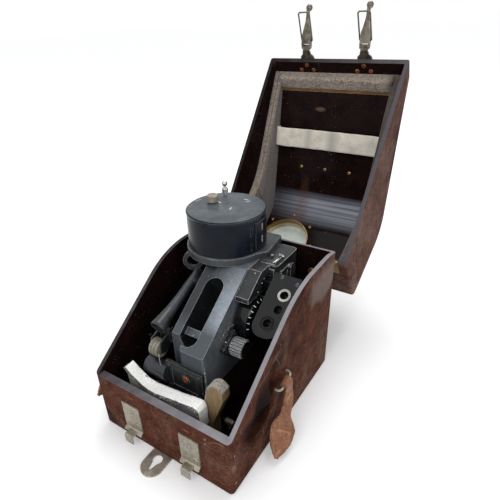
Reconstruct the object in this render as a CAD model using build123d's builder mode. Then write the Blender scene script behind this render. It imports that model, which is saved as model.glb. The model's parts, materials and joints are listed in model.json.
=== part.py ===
from build123d import *

import os
from math import cos, radians, sin, sqrt, tan

# A hinged laminate case, open, with the drum sextant that it carries stowed in it.
# Millimetres: +X is the right-hand side of the case, +Y its hinge side, +Z up.
# The origin is on the ground, under the middle of the front wall's outer face.
# The lid's pieces are drawn where they lie when the lid is shut, then carried to the open pose.

os.makedirs("parts", exist_ok=True)

# ---------------------------------------------------------------- driving dimensions
# Laminate and lining of the base
wall = 5.0
floor_thick = 5.0
lining_thick = 4.5
front_height = 82.0
rim_height = 182.0
rim_slope = 35.0
rim_bend_radius = 125.0
back_drop = 4.0
back_drop_run = 21.0
rim_back_radius = 40.0
corner_radius = 5.0
inner_corner_radius = 2.0
foot_radius = 4.0

# Front-to-back and side-to-side room round the instrument, which the case is made to fit
cradle_gap = 10.5
cradle_depth = 17.0
cradle_to_cover = 11.5
cover_thick = 3.5
rear_room = 7.5
side_room = 2.0

# Sextant: frame casting
frame_width = 52.0
frame_shift = 1.0
frame_length = 174.0
frame_height = 120.0
frame_nose = 55.0
frame_heel_run = 56.0
frame_heel_rise = 46.0
seat_height = 64.0
slot_width = 24.0
slot_length = 88.0
slot_depth = 45.0
slot_from_nose = 5.0
slot_from_left = 11.0
slot_bar_length = 9.0
slot_bar_drop = 8.0
slot_bar_thick = 6.0
nose_cut_width = 19.0
nose_cut_depth = 13.0
nose_radius = 3.0

# Sextant: drum and its fittings
drum_radius = 48.0
drum_height = 45.0
drum_bead = 1.2
flange_radius = 50.5
flange_thick = 9.0
flange_tail = 43.0
flange_corner_radius = 3.0
drum_slot_height = 12.0
drum_slot_width = 2.4
knob_radius = 7.0
knob_height = 8.0
knob_stem_radius = 3.5
knob_stem_height = 2.0
plunger_pillar_radius = 2.2
plunger_pillar_height = 13.0
plunger_collar_radius = 4.0
plunger_collar_height = 6.0
plunger_ball_radius = 3.5
plunger_travel = 4.0
turning_clearance = 0.1
ring_outer_radius = 13.0
ring_left = 36.0
ring_forward = 27.0
ring_drop = 3.0
ring_inner_radius = 8.0
ring_thick = 5.0
ring_turn = 30.0

# Sextant: right-hand side
rear_casting_width = 27.0
rear_casting_length = 54.0
rear_casting_drop = 94.0
casting_edge_radius = 5.0
shelf_width = 17.0
shelf_run = 48.0
shelf_thick = 27.0
shelf_tip = 6.0
dial_radius = 27.5
dial_width = 18.0
dial_gap = 3.0
dial_chamfer = 3.0
dial_back = 88.0
dial_drop = 58.0
dial_shaft_radius = 5.0
index_knob_radius = 11.5
index_knob_length = 16.0
index_knob_gap = 7.0
index_knob_chamfer = 1.2
index_knob_plain = 1.5
index_knob_back = 51.0
index_knob_drop = 77.5
flute_count = 20
flute_radius = 0.9
knob_base_thick = 6.0
knob_base_radius = 14.0
eyepiece_width = 33.0
eyepiece_length = 63.0
eyepiece_depth = 28.0
eyepiece_gap = 28.0
eyepiece_forward = 38.0
eyepiece_below_top = 16.5
eyepiece_corner = 14.0
bore_radius = 5.0
ring_rise = 1.0
bore_depth = 14.0

# Sextant: left-hand side and front
roller_radius = 11.0
roller_width = 12.0
roller_left = 11.0
roller_forward = 5.0
roller_rise = 40.0
bracket_thick = 1.5
bracket_gap = 0.5
axle_radius = 2.0
side_tube_left = 17.0
side_tube_front_radius = 10.0
side_tube_radius = 6.0
side_tube_run = 85.0
side_tube_climb = 33.0
side_tube_back = 8.0
side_tube_rise = 11.0
lamp_radius = 12.0
lamp_length = 32.0
lamp_rise = 13.0
cover_height = 40.5
cover_overhang = 6.0
button_radius = 6.0
button_right = 2.5
button_rise = 25.0
button_height = 2.0

# Wooden blocks, foam and felt in the base
board_thick = 14.0
cradle_half_width = 61.0
cradle_shift = -12.0
cradle_left_height = 90.0
cradle_low_height = 71.0
cradle_right_height = 82.5
cradle_step_start = 18.0
cradle_step_run = 15.0
cradle_step_rise = 3.0
cradle_step_radius = 14.0
cradle_sweep_radius = 30.0
foam_thick = 8.0
foam_tail = 37.0
foam_edge_radius = 9.0
block_thick = 14.0
block_gap = 1.0
block_under_foam = 6.0
block_foot = 8.0
block_foot_height = 46.0
block_lean = 15.0
block_shoulder_height = 87.0
block_side_height = 98.0
block_height = 105.0
block_left_height = 76.0
block_radii = [0, 0, 6, 6, 4, 5, 8, 3]
felt_thick = 1.5
felt_tail_height = 62.0
felt_radii = [8, 5, 4]
seat_width = 40.0
seat_length = 110.0
seat_gap = 0.2
seat_to_block = 39.0
stud_left = 44.0
stud_back = 59.5
stud_radius = 2.5
stud_height = 15.0
stud_head_radius = 6.5
stud_head_height = 4.0

# Lid
lid_side_gap = 1.4
lid_front_gap = 1.3
lid_back_gap = 0.9
lid_wall = 5.2
lid_slope = 51.25
brow_rise = 8.4
brow_radius = 8.0
lid_bend_radius = 60.0
lid_back_radius = 10.0
lid_edge_radius = 3.0
lap_front = 17.4
lap_back = 8.9
drum_headroom = 17.5
open_angle = 148.0

# Lid lining, strap and cup
rib_thick = 12.0
gasket_thick = 2.0
gasket_gap = 0.5
gasket_flap_start = 11.0
gasket_flap_rise = 111.0
batten_depth = 14.0
strap_width = 28.0
strap_thick = 2.0
strap_inboard = 12.0
strap_up_slope = 92.0
strap_sag = 2.0
strap_turn = 12.0
cup_radius = 40.0
cup_wall = 1.5
cup_depth = 19.0
cup_edge_radius = 4.0
cup_flange_radius = 54.0
cup_shift = -18.0
cup_back = 6.0
cup_screw_radius = 49.0
cup_screw_count = 8
panel_screw_pitch = 40.0
panel_screw_up_slope = 137.0

# Hinge
hinge_width = 180.0
knuckle_count = 9
knuckle_gap = 0.3
leaf_thick = 1.5
leaf_height = 32.0
lid_leaf_height = 30.0
leaf_to_axis = 5.4
lid_leaf_to_axis = 6.6
barrel_radius = 3.4
hinge_pin_radius = 1.6
hinge_pin_clearance = 0.08
hinge_offset = 5.7
hinge_drop = 22.6
packing_width = 176.0
packing_height = 34.0
packing_rise = 3.4
hinge_bolt_pitch = 33.0
hinge_bolt_count = 5
hinge_bolt_drop = 10.4
lid_leaf_rivet_rise = 24.6

# Latches and their catches
latch_x = 42.0
bracket_sheet = 1.5
bracket_width = 26.0
bracket_neck_width = 20.0
bracket_tab_width = 12.0
bracket_neck_drop = 3.0
bracket_tab_drop = 7.0
bracket_top_rise = 19.4
latch_stand_off = 4.5
latch_pivot_drop = 16.1
latch_pin_radius = 1.1
latch_pin_clearance = 0.06
latch_barrel_radius = 2.5
latch_barrel_length = 10.0
lever_ear_inner = 5.3
lever_ear_outer = 6.5
lever_back = 3.2
lever_ear_length = 14.0
lever_web_near = 3.4
lever_web_far = 4.6
lever_ear_under = 2.5
lever_web_start = 2.8
lever_waist = 2.6
lever_waist_at = 32.0
lever_ball_at = 47.0
lever_ball_radius = 4.4
lever_rest_right = -128.0
lever_rest_left = -127.0
bail_pivot = 7.0
bail_length = 38.4
bail_wire_radius = 1.0
bail_half_width = 7.9
bail_corner = 3.0
bail_hole_clearance = 0.06
bail_rest_right = -93.0
bail_rest_left = -98.0
catch_width = 26.0
catch_sheet = 1.5
catch_top = 60.0
catch_bottom = 21.5
catch_flare = 4.0
catch_flare_drop = 3.5
tongue_width = 12.4
tongue_reach = 12.6
tongue_top = 20.3
tongue_lip = 8.0

# Fasteners
rivet_radius = 1.5
rivet_head_radius = 3.0
rivet_head_height = 1.2
screw_radius = 1.2
screw_head_radius = 2.4
screw_head_height = 1.0
bolt_radius = 2.0
bolt_head_radius = 3.6
bolt_head_height = 1.4
cup_washer_radius = 4.6
cup_washer_height = 1.6
pin_radius = 1.1
pin_length = 12.0

# Keyhole lug, staples and strap tabs
lug_width = 27.0
lug_thick = 2.0
lug_reach = 32.0
lug_under = 30.0
lug_shift = -2.5
lug_screw_x = 7.0
lug_screw_inset = 9.0
keyhole_y = -9.0
keyhole_radius = 6.0
keyhole_tip_radius = 2.0
keyhole_length = 13.0
staple_wire_radius = 1.6
staple_stand_off = 7.0
staple_length = 26.0
staple_rise = 7.5
staple_front = 90.0
staple_height = 79.5
staple_corner = 5.0
tab_thick = 3.0
tab_neck_width = 13.0
tab_neck_length = 40.0
left_neck_run = 47.0
left_neck_drop = 29.0
tab_leaf_width = 34.0
tab_leaf_length = 58.0
tab_clearance = 0.4

# ---------------------------------------------------------------- places worked out from them
front_lining = wall + lining_thick
cover_front = front_lining + cradle_gap + cradle_depth + cradle_to_cover
frame_front = cover_front + cover_thick
frame_back = frame_front + frame_length
frame_left = frame_shift - frame_width / 2
frame_right = frame_shift + frame_width / 2
frame_top = seat_height + frame_height
drum_x = frame_left + 1.0
drum_y = frame_back - flange_tail
drum_base = frame_top + flange_thick
drum_top = drum_base + drum_height
case_depth = drum_y + flange_radius + rear_room + wall
eyepiece_left = frame_right + eyepiece_gap
eyepiece_right = eyepiece_left + eyepiece_width
case_width = 2 * (eyepiece_right + side_room + wall)
half_width = case_width / 2
inner_half = half_width - wall
back_inside = case_depth - wall
back_height = rim_height - back_drop

# Lid, shut
lid_inner_half = half_width + lid_side_gap
lid_half = lid_inner_half + lid_wall
lid_front = -lid_front_gap - lid_wall
lid_back = case_depth + lid_back_gap + lid_wall
lid_inner_top = drum_top + drum_headroom
lid_top = lid_inner_top + lid_wall
brow_height = front_height + brow_rise
lid_front_rim = front_height - lap_front
lid_back_rim = back_height - lap_back
hinge_y = lid_back + hinge_offset
hinge_z = back_height - hinge_drop

# ---------------------------------------------------------------- helpers
lid_pose = (
    Location((0, hinge_y, hinge_z))
    * Location((0, 0, 0), (-open_angle, 0, 0))
    * Location((0, -hinge_y, -hinge_z))
)


def on_lid(plane):
    """A plane of the shut lid, carried to the open pose."""
    return Plane(lid_pose * plane.location)


def facing_front(y):
    """A plane across the case at y, with local x to the right and local y up, facing forward."""
    return Plane(origin=(0, y, 0), x_dir=(1, 0, 0), z_dir=(0, -1, 0))


def save(piece, name):
    """Label a finished piece and write its STEP file."""
    piece.part.label = name
    export_step(piece.part, f"parts/{name}.step")


def rim_corners(lift):
    """Corners of the base's rim seen from the side, front to back, raised by lift."""
    bend_y = (rim_height - front_height) / tan(radians(rim_slope))
    return [
        (0, front_height + lift),
        (bend_y, rim_height + lift),
        (case_depth - back_drop_run, rim_height + lift),
        (case_depth, back_height + lift),
    ]


def slope_height(y, inset):
    """Height of the shut lid's sloping front at y, set in from its outer face by inset."""
    steep = tan(radians(lid_slope))
    return brow_height + steep * (y - lid_front) - inset * sqrt(1 + steep**2)


def lid_corners(inset):
    """Corners of the shut lid seen from the side, set in by inset, from the front rim to the back."""
    steep = tan(radians(lid_slope))
    front = lid_front + inset
    top = lid_top - inset
    crest_y = front + (top - slope_height(front, inset)) / steep
    return [
        (front, slope_height(front, inset)),
        (crest_y, top),
        (lid_back - inset, top),
    ]


def lid_radii(inset):
    """Radii of the shut lid's corners, set in by inset."""
    return [brow_radius - inset, lid_bend_radius - inset, lid_back_radius - inset]


# ================================================================ base
catch_y = -catch_sheet
catch_rivet_spots = [(0, 48.5), (-7, 31), (7, 31)]
lug_screw_y = lug_under - lug_screw_inset
lug_screw_spots = [(lug_shift - lug_screw_x, lug_screw_y), (lug_shift + lug_screw_x, lug_screw_y)]
hinge_bolt_z = hinge_z - hinge_bolt_drop
hinge_bolt_x = [
    (i - (hinge_bolt_count - 1) / 2) * hinge_bolt_pitch for i in range(hinge_bolt_count)
]
staple_ends = [
    (staple_front, staple_height),
    (staple_front + staple_length, staple_height + staple_rise),
]
side_pin_spots = [(wall + lining_thick / 2, 16), (wall + lining_thick / 2, 60)]
front_pin_spots = [(64, 65), (64, 72)]

with BuildPart() as base_shell:
    with BuildSketch(Plane.YZ):
        with BuildLine():
            rim = FilletPolyline(*rim_corners(0), radius=[rim_bend_radius, rim_back_radius])
            Polyline(rim @ 1, (case_depth, 0), (0, 0), rim @ 0)
        make_face()
    extrude(amount=half_width, both=True)
    fillet(base_shell.edges().filter_by(Axis.Z), corner_radius)
    fillet(base_shell.faces().sort_by(Axis.Z)[0].edges(), foot_radius)
    # the hollow
    with BuildSketch(Plane.XY.offset(floor_thick)):
        with Locations((0, case_depth / 2)):
            RectangleRounded(2 * inner_half, case_depth - 2 * wall, inner_corner_radius)
    extrude(amount=rim_height, mode=Mode.SUBTRACT)
    # the front wall's rim is level between the sloping rims of the side walls
    with BuildSketch(Plane.XY.offset(front_height)):
        Rectangle(2 * inner_half, 2 * front_lining)
    extrude(amount=rim_height, mode=Mode.SUBTRACT)
    # rebate under the floor for the keyhole lug
    with BuildSketch(Plane.XY):
        with Locations((lug_shift, lug_under / 2)):
            Rectangle(lug_width, lug_under)
    extrude(amount=lug_thick, mode=Mode.SUBTRACT)
    with BuildSketch(Plane.XY):
        with Locations(*lug_screw_spots):
            Circle(screw_radius)
    extrude(amount=floor_thick, mode=Mode.SUBTRACT)
    # rivets of the catch plates and pins of the lining board
    with BuildSketch(facing_front(wall)):
        for x in (-latch_x, latch_x):
            with Locations(*[(x + dx, z) for dx, z in catch_rivet_spots]):
                Circle(rivet_radius)
        with Locations(*front_pin_spots):
            Circle(pin_radius)
    extrude(amount=wall, mode=Mode.SUBTRACT)
    with BuildSketch(Plane.YZ.offset(-half_width)):
        with Locations(*side_pin_spots):
            Circle(pin_radius)
        with Locations(*staple_ends):
            Circle(staple_wire_radius)
    extrude(amount=2 * half_width, mode=Mode.SUBTRACT)
    # hinge bolts
    with BuildSketch(facing_front(case_depth)):
        with Locations(*[(x, hinge_bolt_z) for x in hinge_bolt_x]):
            Circle(bolt_radius)
    extrude(amount=wall, mode=Mode.SUBTRACT)
save(base_shell, "base_shell")

with BuildPart() as front_board:
    with BuildSketch(Plane.YZ):
        with Locations((wall + lining_thick / 2, (floor_thick + front_height) / 2)):
            Rectangle(lining_thick, front_height - floor_thick)
    extrude(amount=inner_half, both=True)
    with BuildSketch(facing_front(front_lining)):
        for x in (-latch_x, latch_x):
            with Locations(*[(x + dx, z) for dx, z in catch_rivet_spots]):
                Circle(rivet_radius)
        with Locations(*front_pin_spots):
            Circle(pin_radius)
    extrude(amount=lining_thick, mode=Mode.SUBTRACT)
    with BuildSketch(Plane.YZ.offset(-half_width)):
        with Locations(*side_pin_spots):
            Circle(pin_radius)
    extrude(amount=pin_length, mode=Mode.SUBTRACT)
    with BuildSketch(Plane.YZ.offset(half_width)):
        with Locations(*side_pin_spots):
            Circle(pin_radius)
    extrude(amount=-pin_length, mode=Mode.SUBTRACT)
    fillet(front_board.edges().filter_by(Axis.Z).sort_by(Axis.Y)[:2], inner_corner_radius)
save(front_board, "front_board")

with BuildPart() as board_pins:
    with BuildSketch(Plane.YZ.offset(-half_width)):
        with Locations(*side_pin_spots):
            Circle(pin_radius)
    extrude(amount=pin_length)
    with BuildSketch(Plane.YZ.offset(half_width)):
        with Locations(*side_pin_spots):
            Circle(pin_radius)
    extrude(amount=-pin_length)
    with BuildSketch(facing_front(0)):
        with Locations(*front_pin_spots):
            Circle(pin_radius)
    extrude(amount=-front_lining)
save(board_pins, "board_pins")


def catch_plate(x):
    """A catch plate at x: plate, flared lip across it, and the tongue that a bail hooks under."""
    lip_y = catch_y - catch_flare
    lip_z = catch_bottom - catch_flare_drop
    with BuildPart() as plate:
        with BuildSketch(Plane.YZ.offset(x)):
            with BuildLine():
                Polyline((0, catch_top), (0, catch_bottom - 0.6), (lip_y + 1.0, lip_z - 1.2))
                Polyline((lip_y + 1.0, lip_z - 1.2), (lip_y, lip_z), (catch_y, catch_bottom))
                Polyline((catch_y, catch_bottom), (catch_y, catch_top), (0, catch_top))
            make_face()
        extrude(amount=catch_width / 2, both=True)
        with BuildSketch(Plane.YZ.offset(x)):
            with BuildLine():
                tongue = FilletPolyline(
                    (catch_y / 2, tongue_top - catch_sheet),
                    (-tongue_reach + catch_sheet, tongue_top - catch_sheet),
                    (-tongue_reach + catch_sheet, tongue_lip),
                    radius=0.8,
                )
                offset(tongue, amount=catch_sheet, side=Side.RIGHT)
            make_face()
        extrude(amount=tongue_width / 2, both=True)
        with BuildSketch(facing_front(0)):
            with Locations(*[(x + dx, z) for dx, z in catch_rivet_spots]):
                Circle(rivet_radius)
        extrude(amount=catch_sheet, mode=Mode.SUBTRACT)
    return plate


catch_plate_left = catch_plate(-latch_x)
save(catch_plate_left, "catch_plate_left")
catch_plate_right = catch_plate(latch_x)
save(catch_plate_right, "catch_plate_right")


def heads(plane, spots, radius, height):
    """Chamfered round fastener heads standing on a plane at the given spots."""
    with BuildPart() as group:
        with BuildSketch(plane):
            with Locations(*spots):
                Circle(radius)
        extrude(amount=height)
        tops = group.faces().sort_by(Axis(plane.origin, plane.z_dir))[-len(spots):]
        chamfer(tops.edges(), 0.45 * height, 0.9 * height)
    return group.part


def shanks(plane, spots, radius, length):
    """Plain round shanks running down from a plane at the given spots."""
    with BuildPart() as group:
        with BuildSketch(plane):
            with Locations(*spots):
                Circle(radius)
        extrude(amount=-length)
    return group.part


catch_rivet_all = [(x + dx, z) for x in (-latch_x, latch_x) for dx, z in catch_rivet_spots]
with BuildPart() as catch_rivets:
    front_of_catch = facing_front(catch_y)
    add(heads(front_of_catch, catch_rivet_all, rivet_head_radius, rivet_head_height))
    add(shanks(front_of_catch, catch_rivet_all, rivet_radius, catch_sheet + front_lining))
save(catch_rivets, "catch_rivets")

# Keyhole lug let into the floor, with its two screws
with BuildPart() as hang_lug:
    with BuildSketch(Plane.XY):
        with Locations((lug_shift, (lug_under - lug_reach + lug_width / 2) / 2)):
            Rectangle(lug_width, lug_under + lug_reach - lug_width / 2)
        with Locations((lug_shift, -lug_reach + lug_width / 2)):
            Circle(lug_width / 2)
        with Locations((lug_shift, keyhole_y)):
            Circle(keyhole_radius, mode=Mode.SUBTRACT)
        with BuildLine(mode=Mode.PRIVATE) as slot_line:
            Polyline(
                (lug_shift - 0.75 * keyhole_radius, keyhole_y),
                (lug_shift - keyhole_tip_radius, keyhole_y - keyhole_length),
                (lug_shift + keyhole_tip_radius, keyhole_y - keyhole_length),
                (lug_shift + 0.75 * keyhole_radius, keyhole_y),
                close=True,
            )
        make_face(slot_line.edges(), mode=Mode.SUBTRACT)
        with Locations((lug_shift, keyhole_y - keyhole_length)):
            Circle(keyhole_tip_radius, mode=Mode.SUBTRACT)
        with Locations(*lug_screw_spots):
            Circle(screw_radius, mode=Mode.SUBTRACT)
    extrude(amount=lug_thick)
    with BuildSketch(Plane.XY):
        with Locations(*lug_screw_spots):
            Circle(screw_head_radius)
    extrude(amount=screw_head_height, mode=Mode.SUBTRACT)
save(hang_lug, "hang_lug")

with BuildPart() as hang_lug_screws:
    with BuildSketch(Plane.XY):
        with Locations(*lug_screw_spots):
            Circle(screw_head_radius)
    extrude(amount=screw_head_height)
    with BuildSketch(Plane.XY):
        with Locations(*lug_screw_spots):
            Circle(screw_radius)
    extrude(amount=floor_thick)
save(hang_lug_screws, "hang_lug_screws")


def staple(side):
    """A wire staple through one side wall; side is -1 on the left and 1 on the right."""
    inside = side * inner_half
    outside = side * (half_width + staple_stand_off)
    near, far = staple_ends
    with BuildPart() as wire:
        with BuildLine():
            path = FilletPolyline(
                (inside, *near), (outside, *near), (outside, *far), (inside, *far),
                radius=staple_corner,
            )
        with BuildSketch(Plane(origin=path @ 0, z_dir=path % 0)):
            Circle(staple_wire_radius)
        sweep()
    return wire


staple_left = staple(-1)
save(staple_left, "staple_left")
staple_right = staple(1)
save(staple_right, "staple_right")

# Leather tabs of the carrying strap: a loop round the staple's bar, a neck and a leaf
bar_middle_y = staple_front + staple_length / 2
bar_middle_z = staple_height + staple_rise / 2
loop_inner = staple_wire_radius + tab_clearance
loop_outer = loop_inner + tab_thick


def bar_plane(side, shift):
    """A plane across the staple's bar, shifted along it from the bar's middle."""
    bar = Vector(0, staple_length, staple_rise).normalized()
    middle = Vector(side * (half_width + staple_stand_off), bar_middle_y, bar_middle_z)
    return Plane(origin=middle + bar * shift, x_dir=(1, 0, 0), z_dir=bar)


def leaf_outline():
    """Half outline of a leaf lying along local x, from its neck to its tip."""
    half_neck = tab_neck_width / 2
    half_leaf = tab_leaf_width / 2
    Polyline((0, 0), (0, half_neck), (0.2 * tab_leaf_length, half_neck + 0.5))
    Spline(
        (0.2 * tab_leaf_length, half_neck + 0.5),
        (0.55 * tab_leaf_length, half_leaf),
        (0.85 * tab_leaf_length, 0.55 * half_leaf),
        (tab_leaf_length, 0),
    )
    Line((tab_leaf_length, 0), (0, 0))


tab_face = half_width + staple_stand_off + loop_inner
leaf_start = Vector(tab_face, bar_middle_y, bar_middle_z - tab_neck_length)
leaf_along = Vector(0.14, -0.73, -0.60).normalized()
leaf_normal = Vector(0.84, -0.27, 0.52)
with BuildPart() as strap_tab_right:
    with BuildSketch(bar_plane(1, -tab_neck_width / 2)):
        Circle(loop_outer)
        Circle(loop_inner, mode=Mode.SUBTRACT)
    extrude(amount=tab_neck_width)
    with BuildSketch(Plane.YZ.offset(tab_face)):
        with Locations((bar_middle_y, bar_middle_z - tab_neck_length / 2)):
            Rectangle(tab_neck_width, tab_neck_length)
    extrude(amount=tab_thick)
    with BuildSketch(Plane(origin=leaf_start, x_dir=leaf_along, z_dir=leaf_normal)):
        with BuildLine():
            leaf_outline()
        make_face()
        mirror(about=Plane.XZ)
    extrude(amount=tab_thick)
save(strap_tab_right, "strap_tab_right")

left_along = Vector(0, -0.949, -0.316)
left_start = Vector(-tab_face, bar_middle_y - left_neck_run, bar_middle_z - left_neck_drop)
with BuildPart() as strap_tab_left:
    with BuildSketch(bar_plane(-1, -tab_neck_width / 2)):
        Circle(loop_outer)
        Circle(loop_inner, mode=Mode.SUBTRACT)
    extrude(amount=tab_neck_width)
    with BuildSketch(Plane.YZ.offset(-tab_face)):
        with BuildLine():
            Polyline(
                (bar_middle_y + tab_neck_width / 2, bar_middle_z),
                (bar_middle_y - tab_neck_width / 2, bar_middle_z),
                (left_start.Y - 2, left_start.Z + tab_neck_width / 2),
                (left_start.Y + 2, left_start.Z - tab_neck_width / 2),
                close=True,
            )
        make_face()
    extrude(amount=-tab_thick)
    with BuildSketch(Plane(origin=left_start, x_dir=left_along, z_dir=(-1, 0, 0))):
        with BuildLine():
            leaf_outline()
        make_face()
        mirror(about=Plane.XZ)
    extrude(amount=tab_thick)
save(strap_tab_left, "strap_tab_left")

# Cradle under the instrument's nose, side block, seat and floor stud
cradle_front = front_lining + cradle_gap
cradle_left = cradle_shift - cradle_half_width + 11
cradle_right = cradle_shift + cradle_half_width - 13
cradle_radii = [cradle_step_radius, cradle_sweep_radius]


def cradle_top(lift):
    """The cradle's hollowed top from left to right, raised by lift."""
    return [
        (cradle_left, cradle_left_height + lift),
        (cradle_left + cradle_step_start, cradle_low_height + cradle_step_rise + lift),
        (cradle_left + cradle_step_start + cradle_step_run, cradle_low_height + lift),
        (cradle_right, cradle_right_height + lift),
    ]


with BuildPart() as cradle_board:
    with BuildSketch(facing_front(cradle_front + 1)):
        with BuildLine():
            board_top = FilletPolyline(*cradle_top(-foam_thick), radius=cradle_radii)
            Polyline(board_top @ 1, (cradle_right, floor_thick))
            Polyline((cradle_right, floor_thick), (cradle_left, floor_thick), board_top @ 0)
        make_face()
    extrude(amount=-board_thick)
save(cradle_board, "cradle_board")

# The foam lies over the board's top and turns down over its right-hand end
foam_end = cradle_right + foam_thick
foam_top = cradle_top(0)
foam_tail_z = cradle_right_height - foam_tail
with BuildPart() as cradle_foam:
    with BuildSketch(facing_front(cradle_front)):
        with BuildLine():
            foam_under = FilletPolyline(*cradle_top(-foam_thick), radius=cradle_radii)
            foam_line = FilletPolyline(
                (cradle_left - 3, cradle_left_height + 2),
                foam_top[1],
                foam_top[2],
                (foam_end, cradle_right_height + 1),
                (foam_end, foam_tail_z),
                radius=[*cradle_radii, foam_edge_radius],
            )
            Polyline(foam_line @ 1, (cradle_right, foam_tail_z), foam_under @ 1)
            Line(foam_under @ 0, foam_line @ 0)
        make_face()
    extrude(amount=-cradle_depth)
save(cradle_foam, "cradle_foam")

block_front = cradle_front + cradle_depth + block_gap
block_left = cradle_right + foam_thick - block_under_foam
block_right = block_left + block_foot + block_lean
block_outline = [
    (block_left, floor_thick),
    (block_left + block_foot, floor_thick),
    (block_left + block_foot, block_foot_height),
    (block_right, block_shoulder_height),
    (block_right - 1, block_side_height),
    (block_left + block_thick, block_height),
    (block_left + block_foot / 2, block_side_height),
    (block_left, block_left_height),
]
with BuildPart() as side_block:
    with BuildSketch(facing_front(block_front)):
        with BuildLine():
            FilletPolyline(*block_outline, radius=block_radii, close=True)
        make_face()
    extrude(amount=-block_thick)
save(side_block, "side_block")

# Felt glued over the block's top, from its left edge to its right shoulder
felt_start = (block_left, felt_tail_height)
felt_path = [felt_start] + block_outline[:3:-1]
with BuildPart() as side_block_felt:
    with BuildSketch(facing_front(block_front)):
        with BuildLine():
            felt_line = FilletPolyline(*felt_path, radius=felt_radii)
            offset(felt_line, amount=felt_thick, side=Side.LEFT)
        make_face()
    extrude(amount=-block_thick)
save(side_block_felt, "side_block_felt")

seat_front = cradle_front + cradle_depth + block_thick + seat_to_block
with BuildPart() as seat_block:
    with BuildSketch(Plane.XY.offset(floor_thick)):
        with Locations((frame_shift, seat_front + seat_length / 2)):
            Rectangle(seat_width, seat_length)
    extrude(amount=seat_height - seat_gap - floor_thick)
save(seat_block, "seat_block")

stud_x = inner_half - stud_left
stud_y = front_lining + stud_back
with BuildPart() as floor_stud:
    with BuildSketch(Plane.XY.offset(floor_thick)):
        with Locations((stud_x, stud_y)):
            Circle(stud_radius)
    extrude(amount=stud_height)
    with BuildSketch(Plane.XY.offset(floor_thick + stud_height - stud_head_height)):
        with Locations((stud_x, stud_y)):
            SlotOverall(2 * stud_head_radius, stud_head_radius)
    extrude(amount=stud_head_height)
    fillet(floor_stud.faces().sort_by(Axis.Z)[-1].edges(), 0.4 * stud_head_height)
save(floor_stud, "floor_stud")

# ================================================================ hinge
packing_top = hinge_z - packing_rise
knuckle = hinge_width / knuckle_count
knuckle_x = [(i - (knuckle_count - 1) / 2) * knuckle for i in range(knuckle_count)]
base_knuckles = knuckle_x[0::2]
lid_knuckles = knuckle_x[1::2]
barrel_bore = hinge_pin_radius + hinge_pin_clearance
leaf_inner = lid_back
leaf_outer = lid_back + leaf_thick
base_leaf_top = hinge_z - leaf_to_axis
lid_leaf_bottom = hinge_z + lid_leaf_to_axis
lid_rivet_z = hinge_z + lid_leaf_rivet_rise

with BuildPart() as hinge_packing:
    with BuildSketch(facing_front(case_depth)):
        with Locations((0, packing_top - packing_height / 2)):
            Rectangle(packing_width, packing_height)
        with Locations(*[(x, hinge_bolt_z) for x in hinge_bolt_x]):
            Circle(bolt_radius, mode=Mode.SUBTRACT)
    extrude(amount=-(lid_back - case_depth))
save(hinge_packing, "hinge_packing")


def knuckle_curl(leaf_edge, side):
    """Side view of a knuckle: its barrel and the strip that joins it to the leaf's edge."""
    with BuildSketch() as curl:
        with BuildLine():
            Polyline(
                (leaf_inner, leaf_edge),
                (leaf_outer, leaf_edge),
                (hinge_y - 0.4 * barrel_radius, hinge_z + side * 0.75 * barrel_radius),
                (hinge_y - 0.9 * barrel_radius, hinge_z),
                (leaf_inner, leaf_edge - side * 0.25 * barrel_radius),
                close=True,
            )
        make_face()
        with Locations((hinge_y, hinge_z)):
            Circle(barrel_radius)
            Circle(barrel_bore, mode=Mode.SUBTRACT)
    return curl.sketch


with BuildPart() as hinge_leaf_base:
    with BuildSketch(facing_front(leaf_inner)):
        with Locations((0, base_leaf_top - leaf_height / 2)):
            Rectangle(hinge_width, leaf_height)
        with Locations(*[(x, hinge_bolt_z) for x in hinge_bolt_x]):
            Circle(bolt_radius, mode=Mode.SUBTRACT)
    extrude(amount=-leaf_thick)
    for x in base_knuckles:
        with BuildSketch(Plane.YZ.offset(x)):
            add(knuckle_curl(base_leaf_top, -1))
        extrude(amount=(knuckle - knuckle_gap) / 2, both=True)
save(hinge_leaf_base, "hinge_leaf_base")

with BuildPart() as hinge_leaf_lid:
    with BuildSketch(on_lid(facing_front(leaf_inner))):
        with Locations((0, lid_leaf_bottom + lid_leaf_height / 2)):
            Rectangle(hinge_width, lid_leaf_height)
        with Locations(*[(x, lid_rivet_z) for x in hinge_bolt_x]):
            Circle(rivet_radius, mode=Mode.SUBTRACT)
    extrude(amount=-leaf_thick)
    for x in lid_knuckles:
        with BuildSketch(on_lid(Plane.YZ.offset(x))):
            add(knuckle_curl(lid_leaf_bottom, 1))
        extrude(amount=(knuckle - knuckle_gap) / 2, both=True)
save(hinge_leaf_lid, "hinge_leaf_lid")

with BuildPart() as hinge_pin:
    with BuildSketch(Plane(origin=(0, hinge_y, hinge_z), z_dir=(1, 0, 0))):
        Circle(hinge_pin_radius)
    extrude(amount=hinge_width / 2 + 1, both=True)
    chamfer(hinge_pin.faces().filter_by(Axis.X).edges(), 0.4)
save(hinge_pin, "hinge_pin")

# Bolts: head behind the leaf, shank through packing and wall, cup washer and nut inside
bolt_spots = [(x, hinge_bolt_z) for x in hinge_bolt_x]
bolt_spots_back = [(-x, z) for x, z in bolt_spots]
facing_back = Plane(origin=(0, leaf_outer, 0), x_dir=(-1, 0, 0), z_dir=(0, 1, 0))
with BuildPart() as hinge_bolts:
    add(heads(facing_back, bolt_spots_back, bolt_head_radius, bolt_head_height))
    add(shanks(facing_back, bolt_spots_back, bolt_radius, leaf_outer - back_inside))
    add(heads(facing_front(back_inside), bolt_spots, cup_washer_radius, cup_washer_height))
save(hinge_bolts, "hinge_bolts")

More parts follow.
